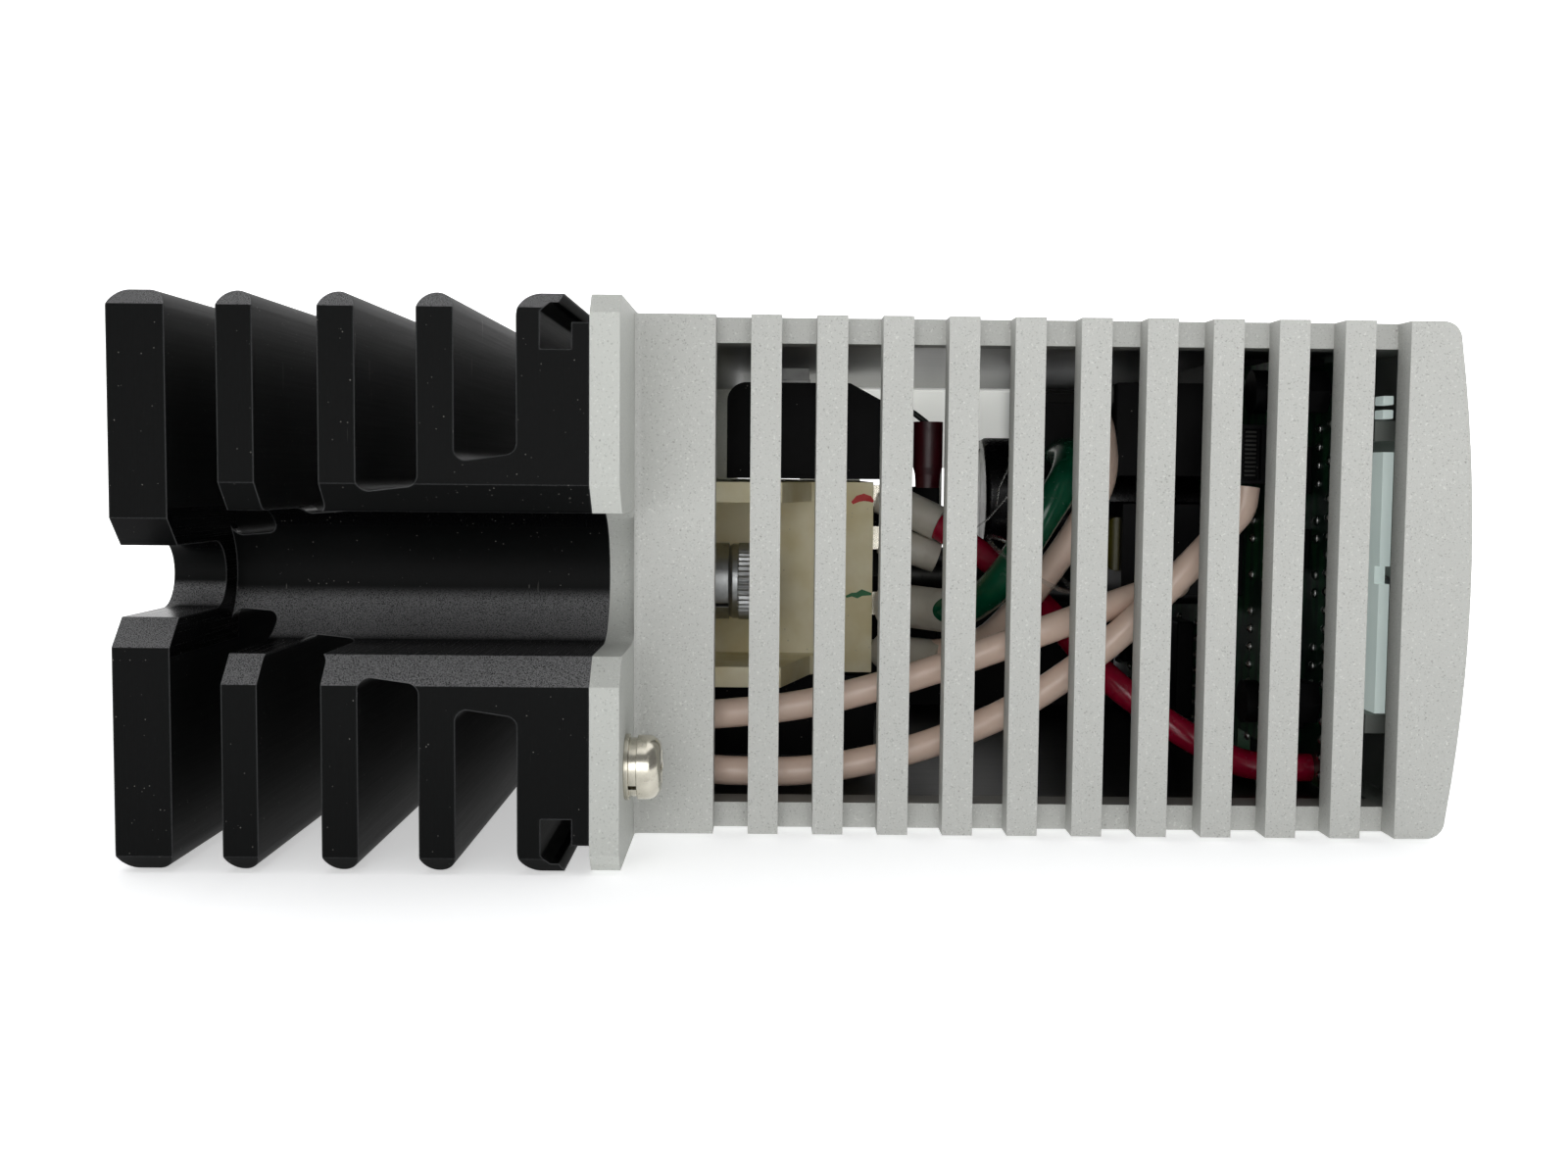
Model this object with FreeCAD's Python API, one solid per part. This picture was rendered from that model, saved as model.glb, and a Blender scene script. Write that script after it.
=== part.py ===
"""Wall-mount power inverter, lying on its side: a finned heatsink, a flange and a louvred case.

Row frame, in millimetres: +X runs from the wall plate to the bowed front, +Y along the
unit's height, +Z up across its width. The origin is the middle of the resting side.
"""
import FreeCAD, Part
import math
import os

V = FreeCAD.Vector

# ---- driving dimensions -------------------------------------------------------------
CASE_WIDTH = 61.0               # across Z
SINK_WIDTH = 61.7               # heatsink and flange, a little proud of the case
MID_Z = 30.0                    # middle of the width while drawing
SINK_LENGTH = 160.0             # heatsink and flange, along Y
SINK_DEPTH = 50.5               # wall face to flange, along X
FLANGE_T = 3.2
CASE_DEPTH = 98.3               # flange to the middle of the bowed front
CASE_LENGTH = 122.0             # over the louvre bars

WALL_X = -(SINK_DEPTH + FLANGE_T + CASE_DEPTH) / 2
FLANGE_X = WALL_X + SINK_DEPTH              # heatsink's mounting face
CASE_X = FLANGE_X + FLANGE_T                # where the case starts
FRONT_X = CASE_X + CASE_DEPTH               # middle of the bowed front
SINK_END = SINK_LENGTH / 2
CASE_END = CASE_LENGTH / 2
SINK_Z0, SINK_Z1 = MID_Z - SINK_WIDTH / 2, MID_Z + SINK_WIDTH / 2
CASE_Z0, CASE_Z1 = MID_Z - CASE_WIDTH / 2, MID_Z + CASE_WIDTH / 2
LIFT = -SINK_Z0                 # raises the drawn assembly onto the plane Z = 0

# heatsink: start and thickness of each plate across X, and the spine between them
FINS = [(0.0, 6.1), (11.45, 3.8), (22.0, 3.9), (32.35, 3.9)]
BASE_START = 42.8
SPINE_HALF = [(4.2, 4.8), (6.9, 7.6), (9.7, 10.7), (12.9, 14.2)]
FLOOR_R = 1.2                   # rounded corners between fin and spine
WALL_EDGE_R = 2.0
BASE_EDGE_R = 2.5
GROOVE_START, GROOVE_W, GROOVE_DEPTH = 2.5, 3.3, 5.9
HOOK_T, HOOK_REACH = 1.0, 1.9   # the lip that hooks over each edge groove
LIP_DROP = 3.1                  # how far the groove's other lip stays below the edge
END_CHAMFER = 1.6

# screw access channel and wall slot at each end
CHANNEL_R = 7.7
SLOT_R = 3.85
SLOT_INSET = 15.0               # centre of both, from the end face
MOUTH_CHAMFER = 3.0

# louvred case
WALL_T = 3.0
INNER_Z0, INNER_Z1 = CASE_Z0 + WALL_T, CASE_Z1 - WALL_T
BAR_DEPTH = 4.1                 # along Y
BAR_W, BAR_PITCH, BAR_COUNT = 3.58, 7.68, 10
BLOCK_W = 9.35                  # solid block beside the flange
FIRST_BAR = 13.45
FRONT_BLOCK = 90.25             # start of the block at the bowed front
RAIL_LENGTH = 5.0
FOOT_R = 0.8
BOW = 2.1
FRONT_CORNER = 2.2
PANEL_X = FRONT_X - 4.1         # inner face of the front panel
FACE_X = FRONT_X - 1.7          # where the panel's fittings end

# boards, each a plate across X
BOARD_T = 1.6
MAIN_X = 55.0
CONTROL_X = 62.4
BOARD_Y, BOARD_Z0, BOARD_Z1 = 52.0, 3.6, 56.4
SHEET_X, SHEET_T = 68.4, 1.3

# power module
MODULE_Z0, MODULE_Z1 = 15.0, 41.0
MODULE_TOP = 7.5
MODULE_BODY_Y, MODULE_EAR_Y = 29.0, 46.0
MODULE_Z = (MODULE_Z0 + MODULE_Z1) / 2
EAR_TOP, EAR_SCREWS = -15.0, (-38.0, 38.0)
PAD_T, PLATE_T = 0.3, 3.0

# leads
LEAD_R = 1.8
EARTH_R = 2.2
ARC_SHARE = 0.45                # part of a run that an arc may take


# ---- helpers ------------------------------------------------------------------------
def block(x0, x1, y0, y1, z0, z1):
    """A box from its lowest to its highest corner."""
    return Part.makeBox(x1 - x0, y1 - y0, z1 - z0, V(x0, y0, z0))


def rod(radius, start, length, axis=V(1, 0, 0)):
    """A cylinder from a point along an axis."""
    return Part.makeCylinder(radius, length, V(*start), axis)


def prism_y(points, y0, y1):
    """A closed outline of X, Z points drawn along Y."""
    corners = [V(x, y0, z) for x, z in points]
    face = Part.Face(Part.makePolygon(corners + corners[:1]))
    return face.extrude(V(0, y1 - y0, 0))


def prism_x(points, x0, x1):
    """A closed outline of Y, Z points drawn along X."""
    corners = [V(x0, y, z) for y, z in points]
    face = Part.Face(Part.makePolygon(corners + corners[:1]))
    return face.extrude(V(x1 - x0, 0, 0))


def joined(shapes):
    """One solid from shapes that touch or overlap."""
    return shapes[0].multiFuse(shapes[1:]).removeSplitter()


def group(shapes):
    """Separate solids kept in one file."""
    return Part.makeCompound(shapes)


def mirrored_y(shape):
    return shape.mirror(V(0, 0, 0), V(0, 1, 0))


def mirrored_z(shape):
    return shape.mirror(V(0, 0, MID_Z), V(0, 0, 1))


def rounded(shape, radius, wanted):
    """Round the edges that a test picks."""
    edges = [edge for edge in shape.Edges if wanted(edge)]
    return shape.makeFillet(radius, edges)


def along(edge, axis):
    """True for a straight edge parallel to an axis."""
    if not isinstance(edge.Curve, Part.Line):
        return False
    return abs(abs(edge.Curve.Direction.dot(axis)) - 1) < 1e-6


def hexagon(across, x0, x1, y, z):
    """A hexagonal prism along X."""
    size = across / math.sqrt(3)
    turns = [math.radians(60 * step) for step in range(6)]
    return prism_x([(y + size * math.cos(a), z + size * math.sin(a)) for a in turns], x0, x1)


def lead_path(points):
    """Straight runs joined by tangent arcs, as one wire."""
    route = [V(*point) for point in points]
    edges, start = [], route[0]
    for before, corner, after in zip(route, route[1:], route[2:]):
        into, out = corner - before, after - corner
        reach = ARC_SHARE * min(into.Length, out.Length)
        into.normalize()
        out.normalize()
        half_turn = math.acos(max(-1.0, min(1.0, into.dot(out)))) / 2
        enter, leave = corner - into * reach, corner + out * reach
        inward = out - into
        inward.normalize()
        radius = reach / math.tan(half_turn)
        centre_gap = radius / math.cos(half_turn)
        middle = corner + inward * (centre_gap - radius)
        edges.append(Part.LineSegment(start, enter).toShape())
        edges.append(Part.Arc(enter, middle, leave).toShape())
        start = leave
    edges.append(Part.LineSegment(start, route[-1]).toShape())
    return Part.Wire(edges)


def lead(points, radius):
    """A round lead swept along its path."""
    path = lead_path(points)
    tangent = V(*points[1]) - V(*points[0])
    section = Part.Wire([Part.makeCircle(radius, V(*points[0]), tangent)])
    tube = path.makePipeShell([section], True, False)
    expected = math.pi * radius ** 2 * path.Length
    print("lead length %.1f, volume off by %.2f%%"
          % (path.Length, 100 * abs(tube.Volume - expected) / expected))
    return tube


def save(name, shape):
    shape.translate(V(0, 0, LIFT))
    shape.exportStep("parts/%s.step" % name)
    box = shape.BoundBox
    print("%-22s solids %2d valid %s  X %.1f %.1f  Y %.1f %.1f  Z %.1f %.1f"
          % (name, len(shape.Solids), shape.isValid(), box.XMin, box.XMax,
             box.YMin, box.YMax, box.ZMin, box.ZMax))


# ---- heatsink and flange ------------------------------------------------------------
def spine_points(gap):
    """The two floors of one gap, as spine outline corners on the upper side."""
    plates = [(start, start + thick) for start, thick in FINS] + [(BASE_START, SINK_DEPTH)]
    x0, x1 = plates[gap][1], plates[gap + 1][0]
    low, high = SPINE_HALF[gap]
    return (WALL_X + x0, MID_Z + low), (WALL_X + x1, MID_Z + high)


def edge_groove():
    """The hooked groove along the base block's upper edge."""
    left = WALL_X + BASE_START + GROOVE_START
    right = left + GROOVE_W
    floor = SINK_Z1 - GROOVE_DEPTH
    under_hook = SINK_Z1 - HOOK_T
    lip = SINK_Z1 - LIP_DROP
    tip = left + HOOK_REACH
    outline = [(left, floor), (right, floor), (right, lip), (FLANGE_X + 1, lip),
               (FLANGE_X + 1, SINK_Z1 + 1), (tip + HOOK_T, SINK_Z1 + 1), (tip, under_hook),
               (left + HOOK_T, under_hook), (left, under_hook - HOOK_T)]
    return prism_y(outline, -SINK_END, SINK_END)


def end_corners(x0, x1, size):
    """The four chamfers along the outer edges of the two end faces."""
    wedge = prism_x([(-SINK_END - 1, SINK_Z1 - size - 1), (-SINK_END - 1, SINK_Z1 + 1),
                     (-SINK_END + size + 1, SINK_Z1 + 1)], x0, x1)
    upper = [wedge, mirrored_y(wedge)]
    return upper + [mirrored_z(shape) for shape in upper]


def mouth(radius, x0, x1):
    """A round-ended notch open at the end face, its mouth chamfered."""
    centre = SLOT_INSET - SINK_END
    wide = radius + MOUTH_CHAMFER
    deep = -SINK_END + MOUTH_CHAMFER
    outline = [(-SINK_END - 1, MID_Z - wide - 1), (deep, MID_Z - radius),
               (centre, MID_Z - radius), (centre, MID_Z + radius),
               (deep, MID_Z + radius), (-SINK_END - 1, MID_Z + wide + 1)]
    near = joined([prism_x(outline, x0, x1), rod(radius, (x0, centre, MID_Z), x1 - x0)])
    return [near, mirrored_y(near)]


def fin_plate(start, thick, edge_r):
    x0 = WALL_X + start
    plate = block(x0, x0 + thick, -SINK_END, SINK_END, SINK_Z0, SINK_Z1)
    return rounded(plate, edge_r, lambda edge: along(edge, V(0, 1, 0)))


def screw_places():
    """Y and Z of the two flange screws, on one diagonal."""
    inset, drop = 8.0, 20.6
    return [(inset - SINK_END, MID_Z - drop), (SINK_END - inset, MID_Z + drop)]


def heatsink():
    wall = fin_plate(*FINS[0], WALL_EDGE_R)
    fins = [fin_plate(start, thick, thick / 2 - 0.02) for start, thick in FINS[1:]]
    base = block(WALL_X + BASE_START, FLANGE_X, -SINK_END, SINK_END, SINK_Z0, SINK_Z1)
    base = rounded(base, BASE_EDGE_R,
                   lambda edge: along(edge, V(0, 1, 0)) and edge.BoundBox.XMin < FLANGE_X - 1)
    groove = edge_groove()
    base = base.cut(groove).cut(mirrored_z(groove))
    spines = []
    for gap in range(len(SPINE_HALF)):
        (x0, z0), (x1, z1) = spine_points(gap)
        x0, x1 = x0 - WALL_EDGE_R / 2, x1 + WALL_EDGE_R / 2
        spines.append(prism_y([(x0, z0), (x1, z1), (x1, 2 * MID_Z - z1), (x0, 2 * MID_Z - z0)],
                              -SINK_END, SINK_END))
    body = joined([wall] + fins + [base] + spines)
    floors = [point for gap in range(len(SPINE_HALF)) for point in spine_points(gap)]

    def in_a_corner(edge):
        if not along(edge, V(0, 1, 0)):
            return False
        x, z = edge.CenterOfMass.x, edge.CenterOfMass.z
        z = max(z, 2 * MID_Z - z)
        return any(abs(x - px) < 0.3 and abs(z - pz) < 0.3 for px, pz in floors)

    body = rounded(body, FLOOR_R, in_a_corner)
    cuts = mouth(SLOT_R, WALL_X - 1, WALL_X + FINS[0][1] + 0.01)
    cuts += mouth(CHANNEL_R, WALL_X + FINS[0][1], FLANGE_X + 1)
    cuts += end_corners(WALL_X - 1, FLANGE_X + 1, END_CHAMFER)
    cuts += [rod(2.0, (FLANGE_X - 7.0, y, z), 8.0) for y, z in screw_places()]
    cuts += [rod(3.0, (FLANGE_X - 9.0, y, MODULE_Z), 10.0) for y in EAR_SCREWS]
    return body.cut(cuts)


def mounting_flange():
    plate = block(FLANGE_X, CASE_X, -SINK_END, SINK_END, SINK_Z0, SINK_Z1)
    cuts = mouth(CHANNEL_R, FLANGE_X - 1, CASE_X + 1)
    cuts += end_corners(FLANGE_X - 1, CASE_X + 1, END_CHAMFER + 0.4)
    cuts += [rod(2.15, (FLANGE_X - 1, y, z), FLANGE_T + 2) for y, z in screw_places()]
    cuts += [rod(3.2, (FLANGE_X - 1, y, MODULE_Z), FLANGE_T + 2) for y in EAR_SCREWS]
    return plate.cut(cuts)


def split_ring(outer, inner, x0, thick, y, z):
    """A spring washer: a flat ring with a slanting gap."""
    ring = rod(outer, (x0, y, z), thick).cut(rod(inner, (x0 - 1, y, z), thick + 2))
    gap = block(x0 - 1, x0 + thick + 1, y - outer - 1, y, z - 0.3, z + 0.3)
    gap.rotate(V(x0, y, z), V(1, 0, 0), 35)
    return ring.cut(gap)


def washer(outer, inner, x0, thick, y, z):
    return rod(outer, (x0, y, z), thick).cut(rod(inner, (x0 - 1, y, z), thick + 2))


def pan_screw(x0, y, z):
    """An M4 pan head screw with a cross recess, its head towards +X."""
    head_r, head_h, shank_r = 3.6, 2.6, 1.98
    shank = rod(shank_r, (FLANGE_X - 6.9, y, z), x0 - FLANGE_X + 7.2)
    head = rod(head_r, (x0, y, z), head_h)
    head = rounded(head, 1.5, lambda edge: edge.BoundBox.XMin > x0 + head_h - 0.01)
    arms = [block(x0 + head_h - 1.7, x0 + head_h + 1, y - 1.9, y + 1.9, z - 0.45, z + 0.45),
            block(x0 + head_h - 1.7, x0 + head_h + 1, y - 0.45, y + 0.45, z - 1.9, z + 1.9)]
    return joined([shank, head]).cut(arms)


def flange_fasteners():
    flat_t, spring_t = 0.5, 0.9
    places = screw_places()
    spring_x = CASE_X + flat_t
    head_x = spring_x + spring_t
    return {
        "flange_flat_washers": group([washer(3.7, 2.1, CASE_X, flat_t, y, z) for y, z in places]),
        "flange_spring_washers": group([split_ring(3.3, 2.1, spring_x, spring_t, y, z)
                                        for y, z in places]),
        "flange_screws": group([pan_screw(head_x, y, z) for y, z in places]),
    }


# ---- case ---------------------------------------------------------------------------
def bar_starts():
    return [CASE_X + FIRST_BAR + BAR_PITCH * number for number in range(BAR_COUNT)]


def louvre_end():
    """One end of the case: block, rails and the bars that stand proud of the rails."""
    x1 = CASE_X + FRONT_BLOCK
    bar_back = -CASE_END + BAR_DEPTH
    rail_back = bar_back + RAIL_LENGTH
    body = block(CASE_X, x1, -CASE_END, rail_back, CASE_Z0, CASE_Z1)
    inside = block(CASE_X - 1, x1 + 1, bar_back, rail_back + 1, INNER_Z0, INNER_Z1)
    lefts = [CASE_X + BLOCK_W] + [start + BAR_W for start in bar_starts()]
    rights = bar_starts() + [x1]
    slots = [block(start, end, -CASE_END - 1, bar_back, CASE_Z0 - 1, CASE_Z1 + 1)
             for start, end in zip(lefts, rights)]
    body = body.cut([inside] + slots)
    foot = block(CASE_X, CASE_X + FOOT_R, -CASE_END - FOOT_R, -CASE_END, CASE_Z0, CASE_Z1)
    cove = rod(FOOT_R, (CASE_X + FOOT_R, -CASE_END - FOOT_R, CASE_Z0 - 1), CASE_WIDTH + 2,
               V(0, 0, 1))
    return joined([body, foot.cut(cove)])


def side_wall():
    """The lower side wall between the two louvre ends."""
    reach = CASE_END - BAR_DEPTH - RAIL_LENGTH
    return block(CASE_X, CASE_X + FRONT_BLOCK, -reach, reach, CASE_Z0, INNER_Z0)


def bowed_outline(x0):
    """Front outline in X, Z: two rounded corners and one long shallow arc."""
    corner_x = FRONT_X - BOW
    edge_x = corner_x - FRONT_CORNER
    a, b = V(x0, 0, CASE_Z0), V(edge_x, 0, CASE_Z0)
    c = V(corner_x, 0, CASE_Z0 + FRONT_CORNER)
    d = V(corner_x, 0, CASE_Z1 - FRONT_CORNER)
    e, f = V(edge_x, 0, CASE_Z1), V(x0, 0, CASE_Z1)
    bend = FRONT_CORNER * (1 - math.sqrt(0.5))
    low = V(corner_x - bend, 0, CASE_Z0 + bend)
    high = V(corner_x - bend, 0, CASE_Z1 - bend)
    return Part.Wire([
        Part.LineSegment(a, b).toShape(), Part.Arc(b, low, c).toShape(),
        Part.Arc(c, V(FRONT_X, 0, MID_Z), d).toShape(), Part.Arc(d, high, e).toShape(),
        Part.LineSegment(e, f).toShape(), Part.LineSegment(f, a).toShape()])


# places on the front panel, each as Y range and Z range
PLUG_Y, PLUG_Z = (-35.5, 19.5), (21.5, 32.5)
SIGNAL_Y, SIGNAL_Z = (27.0, 47.0), (21.8, 32.2)
BUTTON_Y, BUTTON_Z, BUTTON_R = -45.0, 27.0, 2.5
LIGHTS = [(-30.0, 44.0), (-23.0, 44.0), (-16.0, 44.0)]
LIGHT_R = 1.5
CLIP_Y, CLIP_HALF = 44.0, 6.0
CLIP_Z = ((10.4, 12.8), (46.8, 49.3))   # clips that hold the sheet, below and above it


def front_cover():
    x0 = CASE_X + FRONT_BLOCK
    outer = Part.Face(bowed_outline(x0)).extrude(V(0, CASE_LENGTH, 0))
    outer.translate(V(0, -CASE_END, 0))
    reach = CASE_END - BAR_DEPTH
    cuts = [block(x0 - 1, PANEL_X, -reach, reach, INNER_Z0, INNER_Z1)]
    gap = 0.7
    cuts.append(block(PANEL_X - 1, FRONT_X + 1, PLUG_Y[0] - gap, PLUG_Y[1] + gap,
                      PLUG_Z[0] - gap, PLUG_Z[1] + gap))
    cuts.append(block(PANEL_X - 1, FRONT_X + 1, SIGNAL_Y[0], SIGNAL_Y[1], SIGNAL_Z[0], SIGNAL_Z[1]))
    cuts.append(rod(BUTTON_R + 0.35, (PANEL_X - 1, BUTTON_Y, BUTTON_Z), 10))
    cuts += [rod(LIGHT_R, (PANEL_X - 1, y, z), 10) for y, z in LIGHTS]
    cover = outer.cut(cuts)
    clips = [block(SHEET_X - 0.4, PANEL_X + 0.5, y - CLIP_HALF, y + CLIP_HALF, z0, z1)
             for y in (-CLIP_Y, CLIP_Y) for z0, z1 in CLIP_Z]
    return joined([cover] + clips)


# ---- power module -------------------------------------------------------------------
def power_module():
    """Moulded housing with a lower, screwed ear at each end."""
    base_x = CASE_X + PAD_T + PLATE_T
    lip, slope = 2.6, 10.0
    ear = block(base_x, EAR_TOP, -MODULE_EAR_Y, -MODULE_BODY_Y, MODULE_Z0, MODULE_Z1)
    lip_side = [(-MODULE_EAR_Y, EAR_TOP - 1), (-MODULE_BODY_Y + 0.5, EAR_TOP - 1),
                (-MODULE_BODY_Y + 0.5, MODULE_TOP - 3), (-MODULE_BODY_Y - 3, -1.0),
                (-MODULE_EAR_Y, EAR_TOP + slope)]
    lips = []
    for z0 in (MODULE_Z0, MODULE_Z1 - lip):
        corners = [V(x, y, z0) for y, x in lip_side]
        lips.append(Part.Face(Part.makePolygon(corners + corners[:1])).extrude(V(0, 0, lip)))
    end = joined([ear] + lips)
    body = block(base_x, MODULE_TOP, -MODULE_BODY_Y, MODULE_BODY_Y, MODULE_Z0, MODULE_Z1)
    whole = joined([end, mirrored_y(end), body])
    screw_holes = [rod(3.2, (base_x - 1, y, MODULE_Z), 10) for y in EAR_SCREWS]
    pockets = [rod(7.6, (EAR_TOP, y, MODULE_Z), 30) for y in EAR_SCREWS]
    return whole.cut(screw_holes + pockets)


def module_plates():
    """The module's metal base plate and the thermal pad under it."""
    def plate(x0, thick):
        slab = block(x0, x0 + thick, -MODULE_EAR_Y, MODULE_EAR_Y, MODULE_Z0, MODULE_Z1)
        return slab.cut([rod(3.2, (x0 - 1, y, MODULE_Z), thick + 2) for y in EAR_SCREWS])
    return {"thermal_pad": plate(CASE_X, PAD_T),
            "module_base_plate": plate(CASE_X + PAD_T, PLATE_T)}


def cap_screw(x0, y, z):
    """An M6 cap screw with a hexagon socket, its head towards +X."""
    head_h, shank_r = 6.0, 2.98
    shank = rod(shank_r, (FLANGE_X - 8.8, y, z), x0 - FLANGE_X + 9.0)
    head = rod(5.0, (x0, y, z), head_h)
    head = rounded(head, 0.6, lambda edge: edge.BoundBox.XMin > x0 + head_h - 0.01)
    return joined([shank, head]).cut(hexagon(5.0, x0 + 3.0, x0 + head_h + 1, y, z))


def module_fasteners():
    flat_t, spring_t = 1.4, 1.8
    z, spring_x = MODULE_Z, EAR_TOP + flat_t
    head_x = spring_x + spring_t
    return {
        "module_flat_washers": group([washer(6.0, 3.2, EAR_TOP, flat_t, y, z)
                                      for y in EAR_SCREWS]),
        "module_spring_washers": group([split_ring(5.0, 3.1, spring_x, spring_t, y, z)
                                        for y in EAR_SCREWS]),
        "module_cap_screws": group([cap_screw(head_x, y, z) for y in EAR_SCREWS]),
    }


STUD_PLACES = (-20.0, 2.0, 24.0)


def module_terminals():
    """Three terminal studs along the top of the module, each with its nut."""
    studs = [rod(2.5, (MODULE_TOP, y, MODULE_Z), 10.6) for y in STUD_PLACES]
    nuts = [hexagon(8.0, MODULE_TOP, MODULE_TOP + 4.0, y, MODULE_Z).cut(
            rod(2.5, (MODULE_TOP - 1, y, MODULE_Z), 10)) for y in STUD_PLACES]
    return {"terminal_studs": group(studs), "terminal_nuts": group(nuts)}


# lead sleeves on the module's face: start, end, outer radius
SLEEVES = [((8.9, -26.0, 39.0), (16.6, -28.4, 35.4), 2.4),
           ((8.9, -27.2, 33.4), (16.4, -27.0, 30.8), 2.2),
           ((9.5, -27.6, 24.4), (19.4, -35.4, 23.8), 2.9),
           ((8.9, -25.2, 17.6), (17.2, -31.4, 17.4), 2.3)]


# ---- leads --------------------------------------------------------------------------
LEADS = {
    "input_lead_a": ([(-18.8, -28.0, 11.6), (-18.8, -50.0, 11.6), (-2.0, -50.0, 13.2),
                      (13.0, -50.0, 17.4), (30.0, -50.0, 23.8), (39.0, -46.6, 26.8),
                      (45.5, -45.6, 28.6), (45.5, -40.0, 28.6)], LEAD_R),
    "input_lead_b": ([(-18.8, -28.0, 5.4), (-18.8, -50.4, 5.4), (-2.0, -50.4, 4.9),
                      (11.0, -50.4, 7.6), (24.0, -50.4, 12.8), (36.0, -50.4, 21.4),
                      (46.0, -50.2, 31.6), (52.2, -49.0, 38.2), (52.5, -48.9, 41.0)], LEAD_R),
    "output_lead": ([(13.5, -28.6, 17.5), (21.4, -34.4, 19.0), (27.4, -41.0, 26.6),
                     (33.0, -43.0, 35.4), (36.5, -42.2, 42.2), (36.5, -37.4, 49.6),
                     (36.5, -30.0, 49.6)], LEAD_R),
    "bus_lead": ([(13.0, -27.1, 32.0), (20.0, -26.4, 29.8), (27.5, -21.5, 26.4),
                  (37.0, -20.5, 25.5), (55.0, -20.5, 25.5)], 1.4),
    "red_lead": ([(13.4, -27.4, 36.9), (22.5, -31.0, 31.4), (30.5, -36.0, 24.3),
                  (36.3, -43.0, 16.6), (45.3, -46.0, 10.0), (54.0, -46.5, 5.4),
                  (62.4, -46.5, 5.4)], LEAD_R),
    "earth_lead": ([(13.4, -30.7, 24.2), (19.0, -36.6, 23.9), (23.2, -44.4, 28.6),
                    (27.6, -46.6, 36.8), (30.8, -45.2, 41.4), (32.8, -38.6, 44.9),
                    (32.8, -30.0, 44.9)], EARTH_R),
}


def module_leads():
    """Every lead, with the sleeves that grip four of them and the tabs they sit on."""
    tubes = {name: lead(points, radius) for name, (points, radius) in LEADS.items()}
    gripped = ["red_lead", "bus_lead", "earth_lead", "output_lead"]
    sleeves, tabs = [], []
    for (start, end, radius), name in zip(SLEEVES, gripped):
        run = V(*end) - V(*start)
        sleeves.append(rod(radius, start, run.Length, run).cut(tubes[name]))
        x, y, z = start
        tabs.append(block(MODULE_TOP, x + 0.15, y - 0.4, y + 0.4, z - 1.6, z + 1.6))
    for number, tab in enumerate(tabs):
        tabs[number] = tab.cut(sleeves)
    nodes = dict(tubes)
    nodes["lead_sleeves"] = group(sleeves)
    nodes["terminal_tabs"] = group(tabs)
    return nodes


def cable_tie():
    """A thin band round the output and earth leads."""
    return Part.makeTorus(6.2, 0.3, V(26.7, -43.3, 30.9), V(0.5, -0.2, 0.84))


# ---- parts inside the case ----------------------------------------------------------
def snubber_capacitor():
    """A black moulded block above the module, its end sloped."""
    outline = [(-12.5, 41.4), (12.4, 41.4), (12.4, 50.0), (4.2, 54.4), (-12.5, 54.4)]
    body = prism_y(outline, -28.5, 12.0)
    body = rounded(body, 2.6, lambda edge: along(edge, V(0, 1, 0))
                   and edge.BoundBox.XMax < -12 and edge.BoundBox.ZMin > 50)
    return body.cut(rod(2.4, (11.6, -22.0, 46.0), 2))


def snubber_bracket():
    plate = block(-9.0, -1.0, -18.0, 4.0, 54.4, 55.4)
    pad = block(-9.0, -1.0, -10.0, -4.0, 55.4, INNER_Z1)
    return joined([plate, pad])


SHRINK_X, SHRINK_Y = 15.0, -27.0


def snubber_lead():
    """The bare lead from the capacitor's sloped end down into its shrink sleeve."""
    wire = lead([(10.4, SHRINK_Y, 51.2), (12.6, SHRINK_Y, 50.8), (SHRINK_X, SHRINK_Y, 49.0),
                 (SHRINK_X, SHRINK_Y, 47.8)], 0.4)
    return wire.cut(snubber_capacitor())


def shrink_sleeve():
    """The dark shrink tube over the capacitor's lead, necked in at its lower end."""
    outline = [(0, 40.3), (1.65, 40.3), (1.75, 42.1), (2.0, 43.1), (2.0, 49.3), (0, 49.3)]
    corners = [V(SHRINK_X + r, SHRINK_Y, z) for r, z in outline]
    face = Part.Face(Part.makePolygon(corners + corners[:1]))
    return face.revolve(V(SHRINK_X, SHRINK_Y, 0), V(0, 0, 1), 360).cut(snubber_lead())


def bridge_rectifier():
    body = block(CASE_X, 8.0, -28.0, 2.0, 3.4, 14.4)
    return rounded(body, 1.0, lambda edge: along(edge, V(0, 1, 0)) and edge.BoundBox.XMin > 7)


CAN_R, CAN_Y, CAN_Z = 9.2, (-7.6, 12.6), 38.4
CAN_END = 24.5
RELAY_X = 38.6


def dc_capacitors():
    """Two electrolytic cans standing on the main board, their sleeves and end discs."""
    sleeves, discs = [], []
    for y in CAN_Y:
        can = rod(CAN_R, (CAN_END, y, CAN_Z), MAIN_X - CAN_END)
        can = rounded(can, 0.9, lambda edge: edge.BoundBox.XMax < CAN_END + 0.1)
        ring = Part.makeTorus(CAN_R + 0.3, 0.9, V(MAIN_X - 4.0, y, CAN_Z), V(1, 0, 0))
        recess = rod(CAN_R - 1.6, (CAN_END - 1, y, CAN_Z), 1.6)
        sleeves.append(can.cut([ring, recess]))
        disc = rod(CAN_R - 1.6, (CAN_END + 0.2, y, CAN_Z), 0.4)
        vents = [block(CAN_END, CAN_END + 0.35, y - 5.5, y + 5.5, CAN_Z - 0.3, CAN_Z + 0.3),
                 block(CAN_END, CAN_END + 0.35, y - 0.3, y + 0.3, CAN_Z - 5.5, CAN_Z + 5.5)]
        discs.append(disc.cut(vents))
    return {"dc_capacitors": group(sleeves), "capacitor_ends": group(discs)}


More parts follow.
